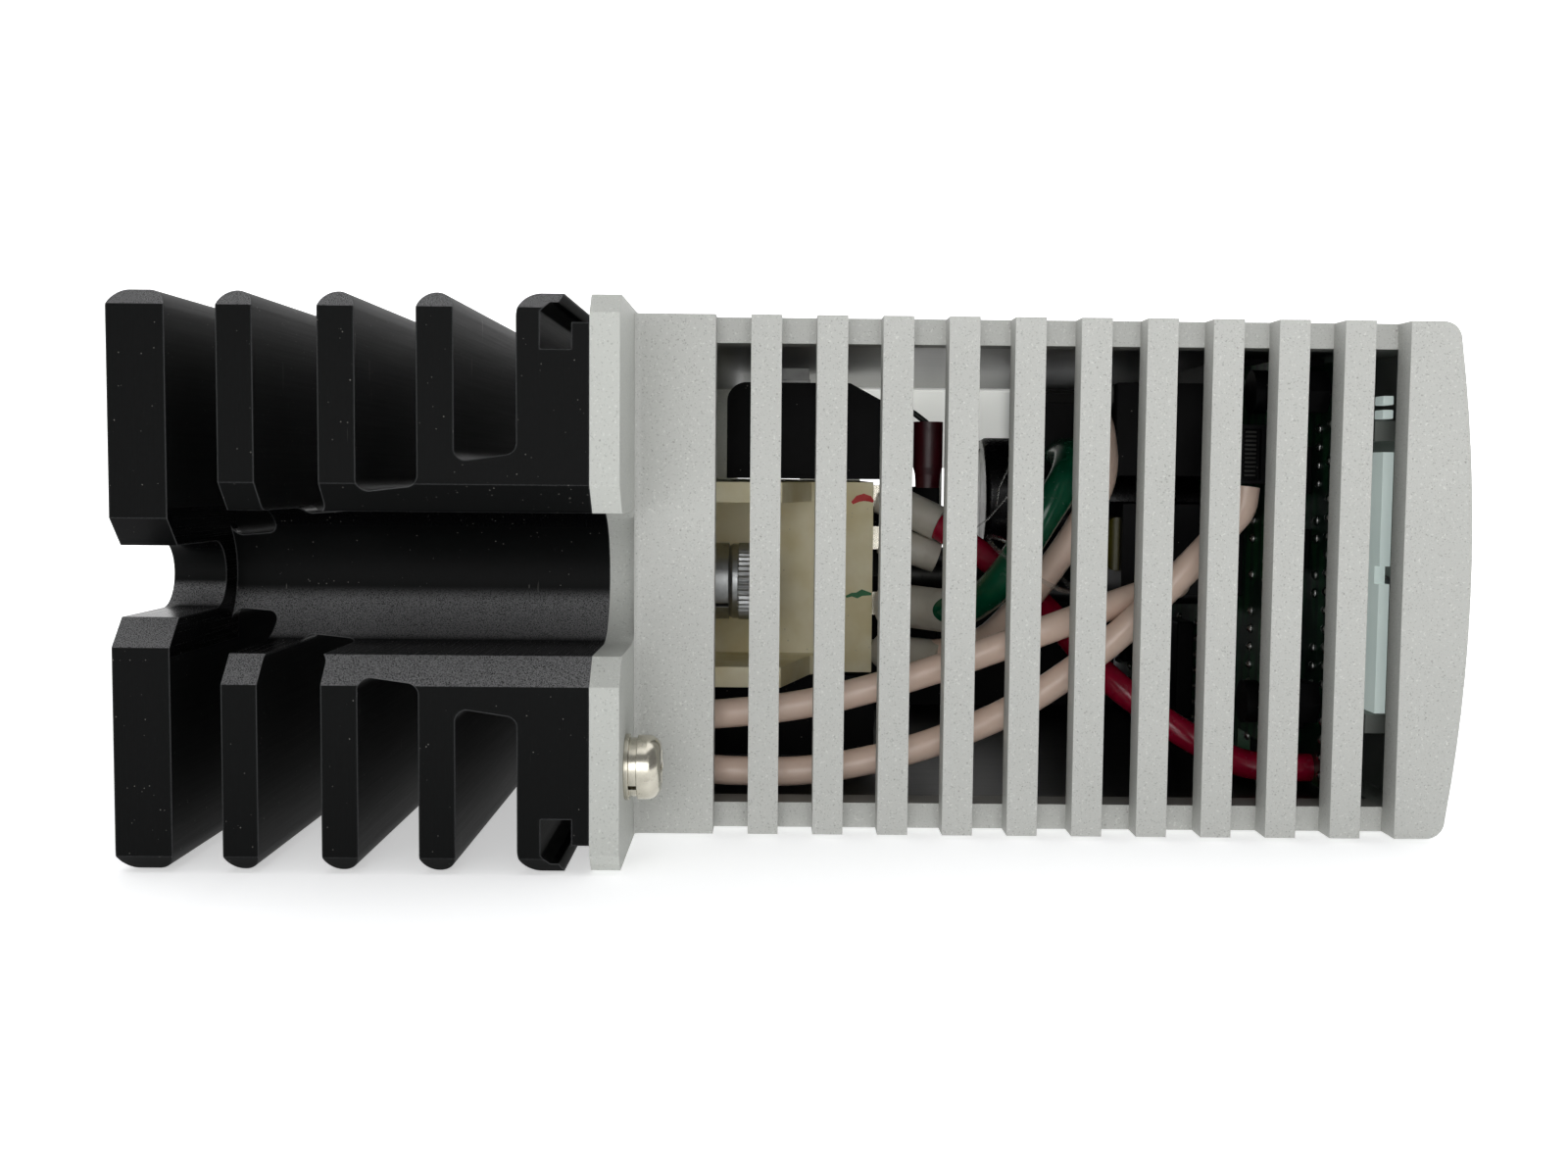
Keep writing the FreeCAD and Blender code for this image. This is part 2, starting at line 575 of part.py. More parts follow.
def relay():
    body = block(RELAY_X, MAIN_X, -36.0, -18.0, 42.2, 54.4)
    return rounded(body, 0.6, lambda edge: edge.BoundBox.XMax < RELAY_X + 0.01)


def lead_terminal():
    """The block on the relay's side that the output and earth leads end in."""
    return block(30.2, RELAY_X, -30.0, -20.0, 42.4, 52.0)


def transformer():
    core_x, winding_x = 39.2, 37.6
    core = block(core_x, MAIN_X, -40.0, -24.4, 26.8, 38.6)
    winding = block(winding_x, core_x, -38.6, -25.8, 29.8, 36.8)
    winding = rounded(winding, 1.2, lambda edge: edge.BoundBox.XMax < winding_x + 0.01)
    return {"transformer_core": core, "transformer_winding": winding}


def board(x0):
    return block(x0, x0 + BOARD_T, -BOARD_Y, BOARD_Y, BOARD_Z0, BOARD_Z1)


STANDOFFS = [(y, z) for y in (-47.5, 47.5) for z in (14.0, 52.8)]


def main_board():
    wire_way = block(MAIN_X - 1, MAIN_X + BOARD_T + 1, -BOARD_Y - 1, -40.0, 0, 9.4)
    holes = [rod(1.5, (MAIN_X - 1, y, z), 4) for y, z in STANDOFFS]
    return board(MAIN_X).cut([wire_way] + holes)


def control_board():
    holes = [rod(1.5, (CONTROL_X - 1, y, z), 4) for y, z in STANDOFFS]
    return board(CONTROL_X).cut(holes)


def standoffs():
    """Hexagon spacers between the boards and the screws that hold them."""
    x0, x1 = MAIN_X + BOARD_T, CONTROL_X
    spacers = [hexagon(5.0, x0, x1, y, z).cut(rod(1.5, (x0 - 1, y, z), x1 - x0 + 2))
               for y, z in STANDOFFS]
    screws = []
    for y, z in STANDOFFS:
        screws.append(joined([rod(2.7, (MAIN_X - 1.8, y, z), 1.8),
                              rod(1.48, (MAIN_X - 0.2, y, z), CONTROL_X - MAIN_X + BOARD_T)]))
    return {"board_spacers": group(spacers), "board_screws": group(screws)}


def board_guides():
    """Grooved strips on both side walls that hold the edges of the two boards."""
    x0, x1 = MAIN_X - 1.8, CONTROL_X + BOARD_T + 1.4
    strip = block(x0, x1, -38.0, 38.0, INNER_Z0, INNER_Z0 + 2.6)
    grooves = [block(start - 0.1, start + BOARD_T + 0.1, -39, 39, BOARD_Z0 - 0.1, 12)
               for start in (MAIN_X, CONTROL_X)]
    strip = strip.cut(grooves)
    return group([strip, mirrored_z(strip)])


def pin_header():
    """The comb connector that the lower input lead ends in, with its pins."""
    z0, z1, wall = 41.4, 48.6, 0.5
    y0, y1, floor_y = -51.6, -45.6, -50.6
    pocket_x, pin_x, pin_reach = (51.4, 53.6), (51.7, 53.1), 0.5
    count, pitch, thick, margin = 11, 0.53, 0.26, 0.9
    housing = block(50.2, MAIN_X, y0, y1, z0, z1)
    housing = housing.cut(block(*pocket_x, y0 - 1, floor_y, z0 + wall, z1 - wall))
    starts = [z0 + margin + pitch * number for number in range(count)]
    pins = [block(*pin_x, floor_y - pin_reach, floor_y, z, z + thick) for z in starts]
    return {"lead_header": housing, "header_pins": group(pins)}


def front_sheet():
    """The pale insulating sheet behind the front panel, notched at both ends."""
    sheet = block(SHEET_X, SHEET_X + SHEET_T, -BOARD_Y, BOARD_Y, 13.2, 45.4)
    notch = block(SHEET_X - 1, SHEET_X + SHEET_T + 1, -BOARD_Y - 1, -BOARD_Y + 1.6, 29.2, 31.4)
    header_way = block(SHEET_X - 1, SHEET_X + SHEET_T + 1, PLUG_Y[0] - 0.5, PLUG_Y[1] + 0.5,
                       PLUG_Z[0] - 0.5, PLUG_Z[1] + 0.5)
    signal_way = block(SHEET_X - 1, SHEET_X + SHEET_T + 1, SIGNAL_Y[0] - 0.5, SIGNAL_Y[1] + 0.5,
                       SIGNAL_Z[0] - 0.5, SIGNAL_Z[1] + 0.5)
    button_way = rod(3.4, (SHEET_X - 1, BUTTON_Y, BUTTON_Z), SHEET_T + 2)
    light_ways = [rod(LIGHT_R + 0.4, (SHEET_X - 1, y, z), SHEET_T + 2) for y, z in LIGHTS]
    return sheet.cut([notch, mirrored_y(notch), header_way, signal_way, button_way] + light_ways)


def line_filter():
    """A moulded filter on the lower side wall, inside the far louvres: a body and a coil."""
    body_top, coil_top, step_x = 20.6, 33.0, 38.0
    body = block(10.0, step_x, 28.0, 50.0, INNER_Z0, body_top)
    coil = block(step_x, 53.0, 30.0, 50.0, INNER_Z0, coil_top)
    coil = rounded(coil, 1.5, lambda edge: edge.BoundBox.ZMin > coil_top - 0.1)
    return joined([body, coil])


def vent_film():
    """A folded film inside the far louvres, stuck along the upper side wall."""
    thick, x0, x1, drop = 0.3, -12.0, 52.0, 14.3
    back = CASE_END - BAR_DEPTH - RAIL_LENGTH - 0.3
    fold = block(x0, x1, back - 7.0, back, INNER_Z1 - thick, INNER_Z1)
    hanging = block(x0, x1, back - thick, back, INNER_Z1 - drop, INNER_Z1)
    return joined([fold, hanging])


# ---- front panel parts --------------------------------------------------------------
WAYS = 10
HEADER_FACE = 71.0


def way_places():
    pitch = (PLUG_Y[1] - PLUG_Y[0]) / WAYS
    return [PLUG_Y[0] + pitch * (number + 0.5) for number in range(WAYS)]


def terminal_header():
    return block(CONTROL_X + BOARD_T, HEADER_FACE - 0.1, PLUG_Y[0], PLUG_Y[1], PLUG_Z[0], PLUG_Z[1])


def terminal_plug():
    """The pull-off plug: a block with a wire way and a clamp screw for each pole."""
    body = block(HEADER_FACE, HEADER_FACE + 4.6, PLUG_Y[0], PLUG_Y[1], PLUG_Z[0], PLUG_Z[1])
    entries = [block(HEADER_FACE + 1.2, HEADER_FACE + 5, y - 1.5, y + 1.5, PLUG_Z[0] + 1.4,
                     PLUG_Z[0] + 4.6) for y in way_places()]
    wells = [rod(1.9, (HEADER_FACE + 2.4, y, PLUG_Z[1] - 3.4), 3) for y in way_places()]
    screws = []
    for y in way_places():
        head = rod(1.85, (HEADER_FACE + 2.4, y, PLUG_Z[1] - 3.4), 1.5)
        slot = block(HEADER_FACE + 3.3, HEADER_FACE + 4.5, y - 2, y + 2,
                     PLUG_Z[1] - 3.7, PLUG_Z[1] - 3.1)
        screws.append(head.cut(slot))
    return {"terminal_plug": body.cut(entries + wells), "plug_screws": group(screws)}


def signal_connector():
    """A shielded signal socket: metal shell round a black insert."""
    y0, y1 = SIGNAL_Y
    z0, z1 = SIGNAL_Z
    lean = 1.4
    x0, x1 = CONTROL_X + BOARD_T, FACE_X + 0.6

    def d_shape(inset, start, end):
        outline = [(y0 + inset, z1 - inset), (y1 - inset, z1 - inset),
                   (y1 - lean - inset, z0 + inset), (y0 + lean + inset, z0 + inset)]
        return prism_x(outline, start, end)

    shell = d_shape(0.3, x0, x1).cut(d_shape(1.0, x0 - 1, x1 + 1))
    insert = d_shape(1.0, x0, x1 - 1.2)
    holes = [rod(0.55, (x1 - 4, y0 + 3.2 + 2.0 * number, z1 - 3.2), 4) for number in range(7)]
    holes += [rod(0.55, (x1 - 4, y0 + 4.2 + 2.0 * number, z0 + 3.2), 4) for number in range(6)]
    return {"signal_shell": shell, "signal_insert": insert.cut(holes)}


def status_lights():
    x0 = CONTROL_X + BOARD_T
    return group([rod(LIGHT_R, (x0, y, z), FACE_X + 0.4 - x0) for y, z in LIGHTS])


BUTTON_TRAVEL = 0.8


def reset_button():
    """A sprung cap in its hole, with the switch behind it."""
    switch_face, clearance, proud = 70.4, 0.2, 0.9
    back, front = switch_face + BUTTON_TRAVEL + clearance, FACE_X + proud
    cap = rod(BUTTON_R, (back, BUTTON_Y, BUTTON_Z), front - back)
    cap = rounded(cap, 0.4, lambda edge: edge.BoundBox.XMin > front - 0.1)
    switch = block(CONTROL_X + BOARD_T, switch_face, BUTTON_Y - 2.2, BUTTON_Y + 2.2,
                   BUTTON_Z - 2.2, BUTTON_Z + 2.2)
    return {"reset_button": cap, "button_switch": switch}


def edge_sockets():
    """Sockets on the control board near the louvred end, above and below the sheet."""
    x0, x1 = CONTROL_X + BOARD_T, 67.4
    upper = block(x0, x1, -51.4, -40.0, 49.4, 54.6)
    lower = block(x0, x1, -51.4, -38.6, 4.6, 9.8)
    return group([upper, lower])


# ---- the whole assembly -------------------------------------------------------------
def build():
    near = louvre_end()
    wall = side_wall()
    nodes = {
        "heatsink": heatsink(),
        "mounting_flange": mounting_flange(),
        "near_louvre_end": near,
        "far_louvre_end": mirrored_y(near),
        "lower_side_wall": wall,
        "upper_side_wall": mirrored_z(wall),
        "front_cover": front_cover(),
        "power_module": power_module(),
        "snubber_capacitor": snubber_capacitor(),
        "snubber_bracket": snubber_bracket(),
        "snubber_lead": snubber_lead(),
        "shrink_sleeve": shrink_sleeve(),
        "bridge_rectifier": bridge_rectifier(),
        "cable_tie": cable_tie(),
        "relay": relay(),
        "lead_terminal": lead_terminal(),
        "main_board": main_board(),
        "control_board": control_board(),
        "board_guides": board_guides(),
        "front_sheet": front_sheet(),
        "vent_film": vent_film(),
        "line_filter": line_filter(),
        "terminal_header": terminal_header(),
        "status_lights": status_lights(),
        "edge_sockets": edge_sockets(),
    }
    for more in (flange_fasteners(), module_plates(), module_fasteners(), module_terminals(),
                 module_leads(), dc_capacitors(), transformer(), standoffs(), pin_header(),
                 terminal_plug(), signal_connector(), reset_button()):
        nodes.update(more)
    return nodes


def main():
    os.makedirs("parts", exist_ok=True)
    nodes = build()
    for name in sorted(nodes):
        save(name, nodes[name])
    print(len(nodes), "nodes")


main()
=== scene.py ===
# %% [markdown]
# # A wall-mount power inverter, seen side on
# The unit lies on its side on a pale table. From left to right there is a black finned
# heatsink, a grey flange, and a grey case whose end is a row of louvre bars. Through the
# bars show the power module, its leads and two circuit boards. The shapes come from the
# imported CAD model; this lesson gives every part its finish and adds the small pieces.

# %% Load the frame
import bmesh
import bpy
import math
import random
from mathutils import Euler, Matrix, Vector


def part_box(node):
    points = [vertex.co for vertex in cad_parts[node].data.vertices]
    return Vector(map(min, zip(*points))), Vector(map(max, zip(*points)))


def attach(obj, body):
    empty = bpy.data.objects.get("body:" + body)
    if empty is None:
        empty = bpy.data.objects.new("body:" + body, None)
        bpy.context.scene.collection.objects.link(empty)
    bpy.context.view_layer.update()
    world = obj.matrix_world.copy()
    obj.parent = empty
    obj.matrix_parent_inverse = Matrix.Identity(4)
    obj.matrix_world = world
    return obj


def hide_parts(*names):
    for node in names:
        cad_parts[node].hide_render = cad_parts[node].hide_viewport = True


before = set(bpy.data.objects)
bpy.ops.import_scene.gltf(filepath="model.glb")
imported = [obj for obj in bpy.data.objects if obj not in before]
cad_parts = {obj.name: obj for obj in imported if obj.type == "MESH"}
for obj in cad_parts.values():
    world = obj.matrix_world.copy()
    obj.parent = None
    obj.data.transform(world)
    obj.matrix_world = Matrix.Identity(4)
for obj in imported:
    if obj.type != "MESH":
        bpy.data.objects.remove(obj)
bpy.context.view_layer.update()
MM = 0.001

# %% [markdown]
# ## Where things are
# Pieces that sit on a CAD face, such as the joints on a board, read that face from the
# node's box; the others are placed in plain millimetres. A node's box is two corners in
# metres, and a tiny class makes those corners easy to name.


# %% A box with named sides
class Box:
    """The lowest and highest corner of a CAD node."""

    def __init__(self, node):
        low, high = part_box(node)
        self.x0, self.y0, self.z0 = low
        self.x1, self.y1, self.z1 = high


SINK, COVER = Box("heatsink"), Box("front_cover")
MAIN, CONTROL = Box("main_board"), Box("control_board")
LOW_WALL, HIGH_WALL = Box("lower_side_wall"), Box("upper_side_wall")
print("case length %.1f mm, width %.1f mm" % ((COVER.y1 - COVER.y0) / MM, (COVER.z1 - COVER.z0) / MM))

# %% [markdown]
# ## Writing a material as sums
# A procedural material is a small calculation done at each point of a surface. Wiring it by
# hand in the node editor is slow to read back. Here a socket is wrapped in a class whose
# `+`, `-` and `*` add Math nodes, so a pattern is written as an ordinary expression.


# %% The socket wrapper
class Value:
    """One output socket. Sums with numbers or other sockets add Math nodes."""

    def __init__(self, tree, socket):
        self.tree, self.socket = tree, socket

    def math(self, operation, *values):
        node = self.tree.nodes.new("ShaderNodeMath")
        node.operation = operation
        for place, value in zip(node.inputs, values):
            join(self.tree, place, value)
        return Value(self.tree, node.outputs[0])

    def __add__(self, other):
        return self.math("ADD", self, other)

    def __sub__(self, other):
        return self.math("SUBTRACT", self, other)

    def __mul__(self, other):
        return self.math("MULTIPLY", self, other)

    def __gt__(self, other):
        return self.math("GREATER_THAN", self, other)

    def __lt__(self, other):
        return self.math("LESS_THAN", self, other)

    def __rsub__(self, other):
        return self.math("SUBTRACT", other, self)

    __radd__, __rmul__ = __add__, __mul__

    def clamped(self):
        return self.math("MINIMUM", self.math("MAXIMUM", self, 0.0), 1.0)

    def size(self):
        return self.math("ABSOLUTE", self)


def join(tree, place, value):
    """Link a socket, or set its own value."""
    if isinstance(value, Value):
        tree.links.new(value.socket, place)
    else:
        place.default_value = value


# %% [markdown]
# ## One object per finish
# A `Finish` holds a material and its Principled shader. Its `node` method adds any node from
# a type, settings and socket values; its helpers give the patterns used again and again:
# fine grain, long brush lines, soft clouds, and a mask along edges.


# %% The finish class
def rgb(red, green, blue):
    """Display levels from 0 to 255, turned into the linear values that a shader uses."""
    def linear(level):
        share = level / 255
        return share / 12.92 if share <= 0.04045 else ((share + 0.055) / 1.055) ** 2.4
    return (linear(red), linear(green), linear(blue), 1.0)


class Finish:
    """A material with one Principled shader, written through small helpers."""

    def __init__(self, name, **constants):
        self.material = bpy.data.materials.new(name)
        self.material.use_nodes = True
        self.tree = self.material.node_tree
        self.shader = self.tree.nodes["Principled BSDF"]
        for socket, value in constants.items():
            self.shader.inputs[socket.replace("_", " ")].default_value = value

    def node(self, kind, settings=None, sockets=None, out=0):
        node = self.tree.nodes.new(kind)
        for name, value in (settings or {}).items():
            setattr(node, name, value)
        for name, value in (sockets or {}).items():
            join(self.tree, node.inputs[name], value)
        return Value(self.tree, node.outputs[out])

    def feed(self, socket, value):
        join(self.tree, self.shader.inputs[socket], value)

    def place(self):
        """The point's place in the row frame, in metres."""
        return self.node("ShaderNodeTexCoord", out="Object")

    def split(self, vector):
        """The X, Y and Z parts of a vector."""
        parts = self.node("ShaderNodeSeparateXYZ", sockets={0: vector}).socket.node
        return [Value(self.tree, socket) for socket in parts.outputs]

    def axes(self):
        return self.split(self.place())

    def mix(self, share, first, second):
        """A colour between two colours."""
        return self.node("ShaderNodeMix", {"data_type": "RGBA"}, {0: share, 6: first, 7: second}, out=2)

    def stretched(self, x, y, z):
        """Places scaled by a number for each axis, in patterns per millimetre."""
        return self.node("ShaderNodeVectorMath", {"operation": "MULTIPLY"},
                         {0: self.place(), 1: (x / MM, y / MM, z / MM)})

    def noise(self, x, y=None, z=None, detail=2.0, roughness=0.5):
        """Soft noise, with the number of lumps per millimetre along each axis."""
        return self.node("ShaderNodeTexNoise", None,
                         {"Vector": self.stretched(x, x if y is None else y, x if z is None else z),
                          "Scale": 1.0, "Detail": detail, "Roughness": roughness})

    def specks(self, per_mm, size):
        """1 inside small round specks, 0 between them."""
        gap = self.node("ShaderNodeTexVoronoi", {"feature": "F1"},
                        {"Vector": self.stretched(per_mm, per_mm, per_mm), "Scale": 1.0})
        return gap < size

    def step(self, value, low, high):
        """0 below low, 1 above high, smooth between."""
        return self.node("ShaderNodeMapRange", {"interpolation_type": "SMOOTHSTEP"},
                         {"Value": value, "From Min": low, "From Max": high})

    def edges(self, radius_mm, low=0.02, high=0.25):
        """1 along edges, from how far the shading normal turns when rounded off."""
        soft = self.node("ShaderNodeBevel", {"samples": 6}, {"Radius": radius_mm * MM})
        true = self.node("ShaderNodeNewGeometry", out="Normal")
        same = self.node("ShaderNodeVectorMath", {"operation": "DOT_PRODUCT"}, {0: soft, 1: true},
                         out="Value")
        return self.step(1 - same, low, high)

    def bump(self, height, strength, depth_mm, radius_mm=0.0):
        """Relief that is depth_mm high where height is 1, over softly rounded edges."""
        sockets = {"Strength": strength, "Distance": depth_mm * MM, "Height": height}
        if radius_mm:
            sockets["Normal"] = self.node("ShaderNodeBevel", {"samples": 6}, {"Radius": radius_mm * MM})
        self.feed("Normal", self.node("ShaderNodeBump", None, sockets))


def dress(finish, *nodes):
    """Give CAD nodes a finish."""
    for name in nodes:
        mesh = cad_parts[name].data
        mesh.materials.clear()
        mesh.materials.append(finish.material)


print("sockets and finishes can be written as sums")

# %% [markdown]
# ## Powder-coated grey paint
# The case and flange are cast or milled aluminium with a fine textured grey coat. Close up
# the coat has a tight orange-peel relief, pale and dark grains a fraction of a millimetre
# across, and a slightly worn, lighter line along each sharp edge. The coat doesn't reach the
# faces that look inwards behind the bars, so a mask from the point's place swaps it there
# for bare metal, painted dark as painted shade for the inside of the case.


# %% Case paint
BAR_BACK = 56.85 * MM       # how far from the middle the bars' back faces are
PANEL_BACK = COVER.x1 - 3.8 * MM    # within the front panel, so only its inner face is bare
SKIN = 0.05 * MM
SOOT, WORN_COAT = rgb(120, 118, 114), rgb(220, 220, 216)


def painted(name, body, dark, pale, grain=3.8, bare=None):
    """Textured coat; with a bare colour, uncoated on the faces behind the bars."""
    paint = Finish(name, Specular_IOR_Level=0.38)
    peel = paint.noise(grain, detail=3.0, roughness=0.65)
    cloud = paint.noise(0.06, detail=2.0)
    dark_grain = paint.step(paint.noise(grain * 1.3, detail=1.0), 0.60, 0.74)
    pale_grain = paint.step(paint.noise(grain * 0.9, detail=1.0), 0.62, 0.76)
    soot = paint.specks(1.1, 0.13) * paint.step(paint.noise(0.35), 0.48, 0.62)
    coat = paint.mix(dark_grain * 0.8, body, dark)
    coat = paint.mix(pale_grain * 0.7, coat, pale)
    coat = paint.mix(cloud * 0.22, coat, dark)
    coat = paint.mix(soot * 0.5, coat, SOOT)
    coat = paint.mix(paint.edges(0.28) * 0.5, coat, WORN_COAT)
    if bare:
        # painted shade: behind the bars the bare metal's dark tone stands in for the shade inside the
        # case
        x, y, z = paint.axes()
        within = (z > LOW_WALL.z1 - SKIN) * (z < HIGH_WALL.z0 + SKIN)
        within = within * (y.size() < BAR_BACK) * (x < PANEL_BACK)
        coat = paint.mix(within, coat, paint.mix(cloud, bare, dark))
    paint.feed("Base Color", coat)
    paint.feed("Roughness", 0.46 + 0.16 * peel)
    paint.bump(peel, 0.8, 0.05, radius_mm=0.22)
    return paint


coat_tones = (rgb(190, 191, 187), rgb(150, 151, 147), rgb(216, 217, 212))
case_paint = painted("case_paint", *coat_tones, bare=rgb(86, 86, 83))
cover_paint = painted("cover_paint", *coat_tones, bare=rgb(84, 92, 86))
flange_paint = painted("flange_paint", rgb(189, 191, 186), rgb(158, 160, 156), rgb(212, 214, 209), 3.4)
dress(case_paint, "near_louvre_end", "far_louvre_end")
dress(cover_paint, "front_cover")
dress(flange_paint, "mounting_flange")
print("painted:", case_paint.material.name, flange_paint.material.name)

# %% [markdown]
# ## Side walls, painted outside and bare inside
# The two side walls are plates. Outside they carry the same grey coat as the case; inside
# the aluminium was left bare, and the mill's rolling lines run along the plate. A mask
# made from the height of each point picks the inner skin. Inside, the metal is painted lit
# in the middle and painted shade towards the bars and towards the boards.


# %% Side walls
FRONT_SHADE_FADE = (38 * MM, 22 * MM)     # X places between which the inner metal goes from painted light to painted shade
BACK_SHADE_FADE = (-8 * MM, 2 * MM)


def wall_finish(name, inner_z, upward, shaded_metal, lit_metal):
    wall = Finish(name, Specular_IOR_Level=0.5)
    x, _, z = wall.axes()
    inside = (z > inner_z - SKIN) if upward else (z < inner_z + SKIN)
    peel = wall.noise(5.0, detail=3.0)
    brushed = wall.noise(0.05, 3.2, 0.05, detail=4.0, roughness=0.6)
    dark_grain = wall.step(wall.noise(6.5, detail=1.0), 0.60, 0.74)
    coat = wall.mix(dark_grain * 0.8, *coat_tones[:2])
    # painted light and shade: the inner metal is painted lit between the fades and painted shaded past
    # them, for the shade of the bars and the boards
    painted_light = wall.step(x, *FRONT_SHADE_FADE) * wall.step(x, *BACK_SHADE_FADE)
    metal = wall.mix(brushed * painted_light, shaded_metal, lit_metal)
    wall.feed("Base Color", wall.mix(inside, coat, metal))
    wall.feed("Metallic", inside * 0.9)
    wall.feed("Roughness", (1 - inside) * 0.5 + inside * (0.3 + 0.16 * brushed))
    wall.bump(peel * (1 - inside) + brushed * inside, 0.4, 0.03, radius_mm=0.15)
    return wall


dress(wall_finish("lower_wall_skin", LOW_WALL.z1, True, rgb(38, 37, 35), rgb(66, 64, 61)),
      "lower_side_wall")
dress(wall_finish("upper_wall_skin", HIGH_WALL.z0, False, rgb(62, 64, 64), rgb(208, 207, 203)),
      "upper_side_wall")
print("inner skins at z = %.1f and %.1f mm" % (LOW_WALL.z1 / MM, HIGH_WALL.z0 / MM))

# %% [markdown]
# ## Black anodised heatsink
# The heatsink is an aluminium extrusion, sawn to length, chamfered and then anodised black.
# The extruded faces carry faint lines along the fins, the sawn ends carry short upright
# lines, and the channel that a cutter opened is glossier and painted darker, a painted
# shade. Handling leaves pale dust, a few scratches, and grey where the film is thin on the
# edges. The chamfers that face up are painted a grainy lighter grey, a painted light.


# %% Anodised black
CHANNEL_START = 57.2 * MM       # how far from the middle the cut channels begin
CHANNEL_HALF = 7.9 * MM         # half the width that counts as channel


def anodised():
    black = Finish("black_anodised", Specular_IOR_Level=0.06)
    x, y, z = black.axes()
    drawn = black.noise(6.0, 0.05, 6.0, detail=3.0)
    sawn = black.noise(7.0, 7.0, 0.12, detail=3.0)
    normal = black.node("ShaderNodeNewGeometry", out="Normal")
    _, across, upright = black.split(normal)
    end_face = black.step(across * across, 0.35, 0.8)
    # painted light: only the chamfers that face up get the lighter grey, for the light that falls on them
    # from above
    lit_chamfer = black.step((across * upright).size(), 0.2, 0.42) * (upright > 0.0)
    from_middle = (z - (SINK.z0 + SINK.z1) / 2).size()
    in_channel = (from_middle < CHANNEL_HALF) * (y.size() > CHANNEL_START) * (x > SINK.x0 + SKIN)
    in_channel = in_channel * (1 - end_face)
    lines = drawn * (1 - end_face) + sawn * end_face
    grain = black.noise(9.0, detail=2.0)
    dust = black.specks(1.5, 0.10) * black.step(black.noise(0.5), 0.52, 0.66)
    scratch = black.step(black.noise(2.6, 2.6, 0.14, detail=0.0), 0.80, 0.83)
    scratch = scratch * black.step(black.noise(0.11), 0.52, 0.64)
    worn = black.edges(0.3, 0.01, 0.2)
    film = black.mix(lines * 0.6, rgb(6, 7, 7), rgb(16, 17, 17))
    # painted shade: the film is painted near black inside the channel, for the shade in that recess
    film = black.mix(in_channel * 0.7, film, rgb(3, 3, 4))
    film = black.mix(worn * (0.35 + 0.4 * grain), film, rgb(104, 105, 106))
    film = black.mix(lit_chamfer * black.step(grain, 0.3, 0.6), film, rgb(112, 112, 113))
    film = black.mix((dust * 0.5 + scratch * 0.2).clamped(), film, rgb(150, 148, 142))
    black.feed("Base Color", film)
    sheen = 0.36 + 0.12 * lines + 0.10 * grain
    black.feed("Roughness", sheen - in_channel * 0.22)
    black.bump(lines * (1 - in_channel * 0.8) + grain * 0.3, 0.35, 0.03, radius_mm=0.3)
    return black


dress(anodised(), "heatsink")
print("heatsink finished")

# %% [markdown]
# ## Metals
# Screws are nickel plated, with a faintly warm tone; the module's screws are zinc plated and
# duller; brackets are plain and the studs are blackened. One function covers them: a metal
# colour that drifts a little, with fine turned lines and a few darker stains.


# %% Metal finishes
def metal(name, light, dark, roughness, lines=(3.0, 3.0, 3.0)):
    plate = Finish(name, Metallic=1.0)
    drift = plate.noise(0.5, detail=3.0)
    turned = plate.noise(*lines, detail=3.0)
    stain = plate.step(plate.noise(0.9, detail=4.0), 0.6, 0.72)
    tone = plate.mix(drift, light, dark)
    tone = plate.mix(stain * 0.4, tone, dark)
    plate.feed("Base Color", tone)
    plate.feed("Roughness", roughness + 0.14 * drift + 0.12 * stain)
    plate.bump(turned, 0.3, 0.02, radius_mm=0.12)
    return plate


nickel = metal("nickel_plate", rgb(224, 220, 207), rgb(172, 167, 152), 0.16, (9.0, 2.0, 2.0))
zinc = metal("zinc_plate", rgb(190, 192, 192), rgb(140, 142, 142), 0.28, (6.0, 2.0, 2.0))
bare = metal("bare_metal", rgb(186, 186, 184), rgb(128, 128, 126), 0.32, (2.0, 0.3, 5.0))
dark_plate = metal("dark_plate", rgb(70, 70, 68), rgb(38, 38, 37), 0.4)
solder = metal("solder", rgb(205, 206, 204), rgb(150, 151, 149), 0.2)
dress(nickel, "flange_screws", "flange_spring_washers", "flange_flat_washers", "terminal_tabs",
      "plug_screws", "signal_shell")
dress(zinc, "module_cap_screws", "module_spring_washers", "module_flat_washers")
dress(dark_plate, "terminal_studs", "terminal_nuts", "snubber_lead", "header_pins")
dress(bare, "module_base_plate", "snubber_bracket", "capacitor_ends")
print("metals:", [finish.material.name for finish in (nickel, zinc, bare, dark_plate, solder)])

# %% [markdown]
# ## Moulded plastics and sleeves
# Plastics differ in colour, gloss and grain. The module's housing is a beige, slightly
# translucent resin that has yellowed unevenly; the blacks are glossy and plain; the
# sleeves and insulation are soft vinyl with a faint waviness along the wire.


# %% Plastic finishes
def plastic(name, body, shade, roughness=0.4, grain=4.0, wax=0.0, coat=0.0, gloss=0.5):
    resin = Finish(name, Specular_IOR_Level=gloss, Coat_Weight=coat, Coat_Roughness=0.08)
    if wax:
        resin.shader.inputs["Subsurface Weight"].default_value = wax
        resin.shader.inputs["Subsurface Radius"].default_value = (1.0, 0.7, 0.4)
        resin.shader.inputs["Subsurface Scale"].default_value = 1.2 * MM
    drift = resin.noise(0.16, detail=3.0)
    fine = resin.noise(grain, detail=2.0)
    mark = resin.specks(0.8, 0.09) * resin.step(resin.noise(0.4), 0.5, 0.6)
    tone = resin.mix(resin.step(drift, 0.3, 0.7), body, shade)
    tone = resin.mix(mark * 0.35, tone, rgb(150, 146, 138))
    resin.feed("Base Color", tone)
    resin.feed("Roughness", roughness + 0.16 * fine)
    resin.bump(fine, 0.4, 0.02, radius_mm=0.15)
    return resin


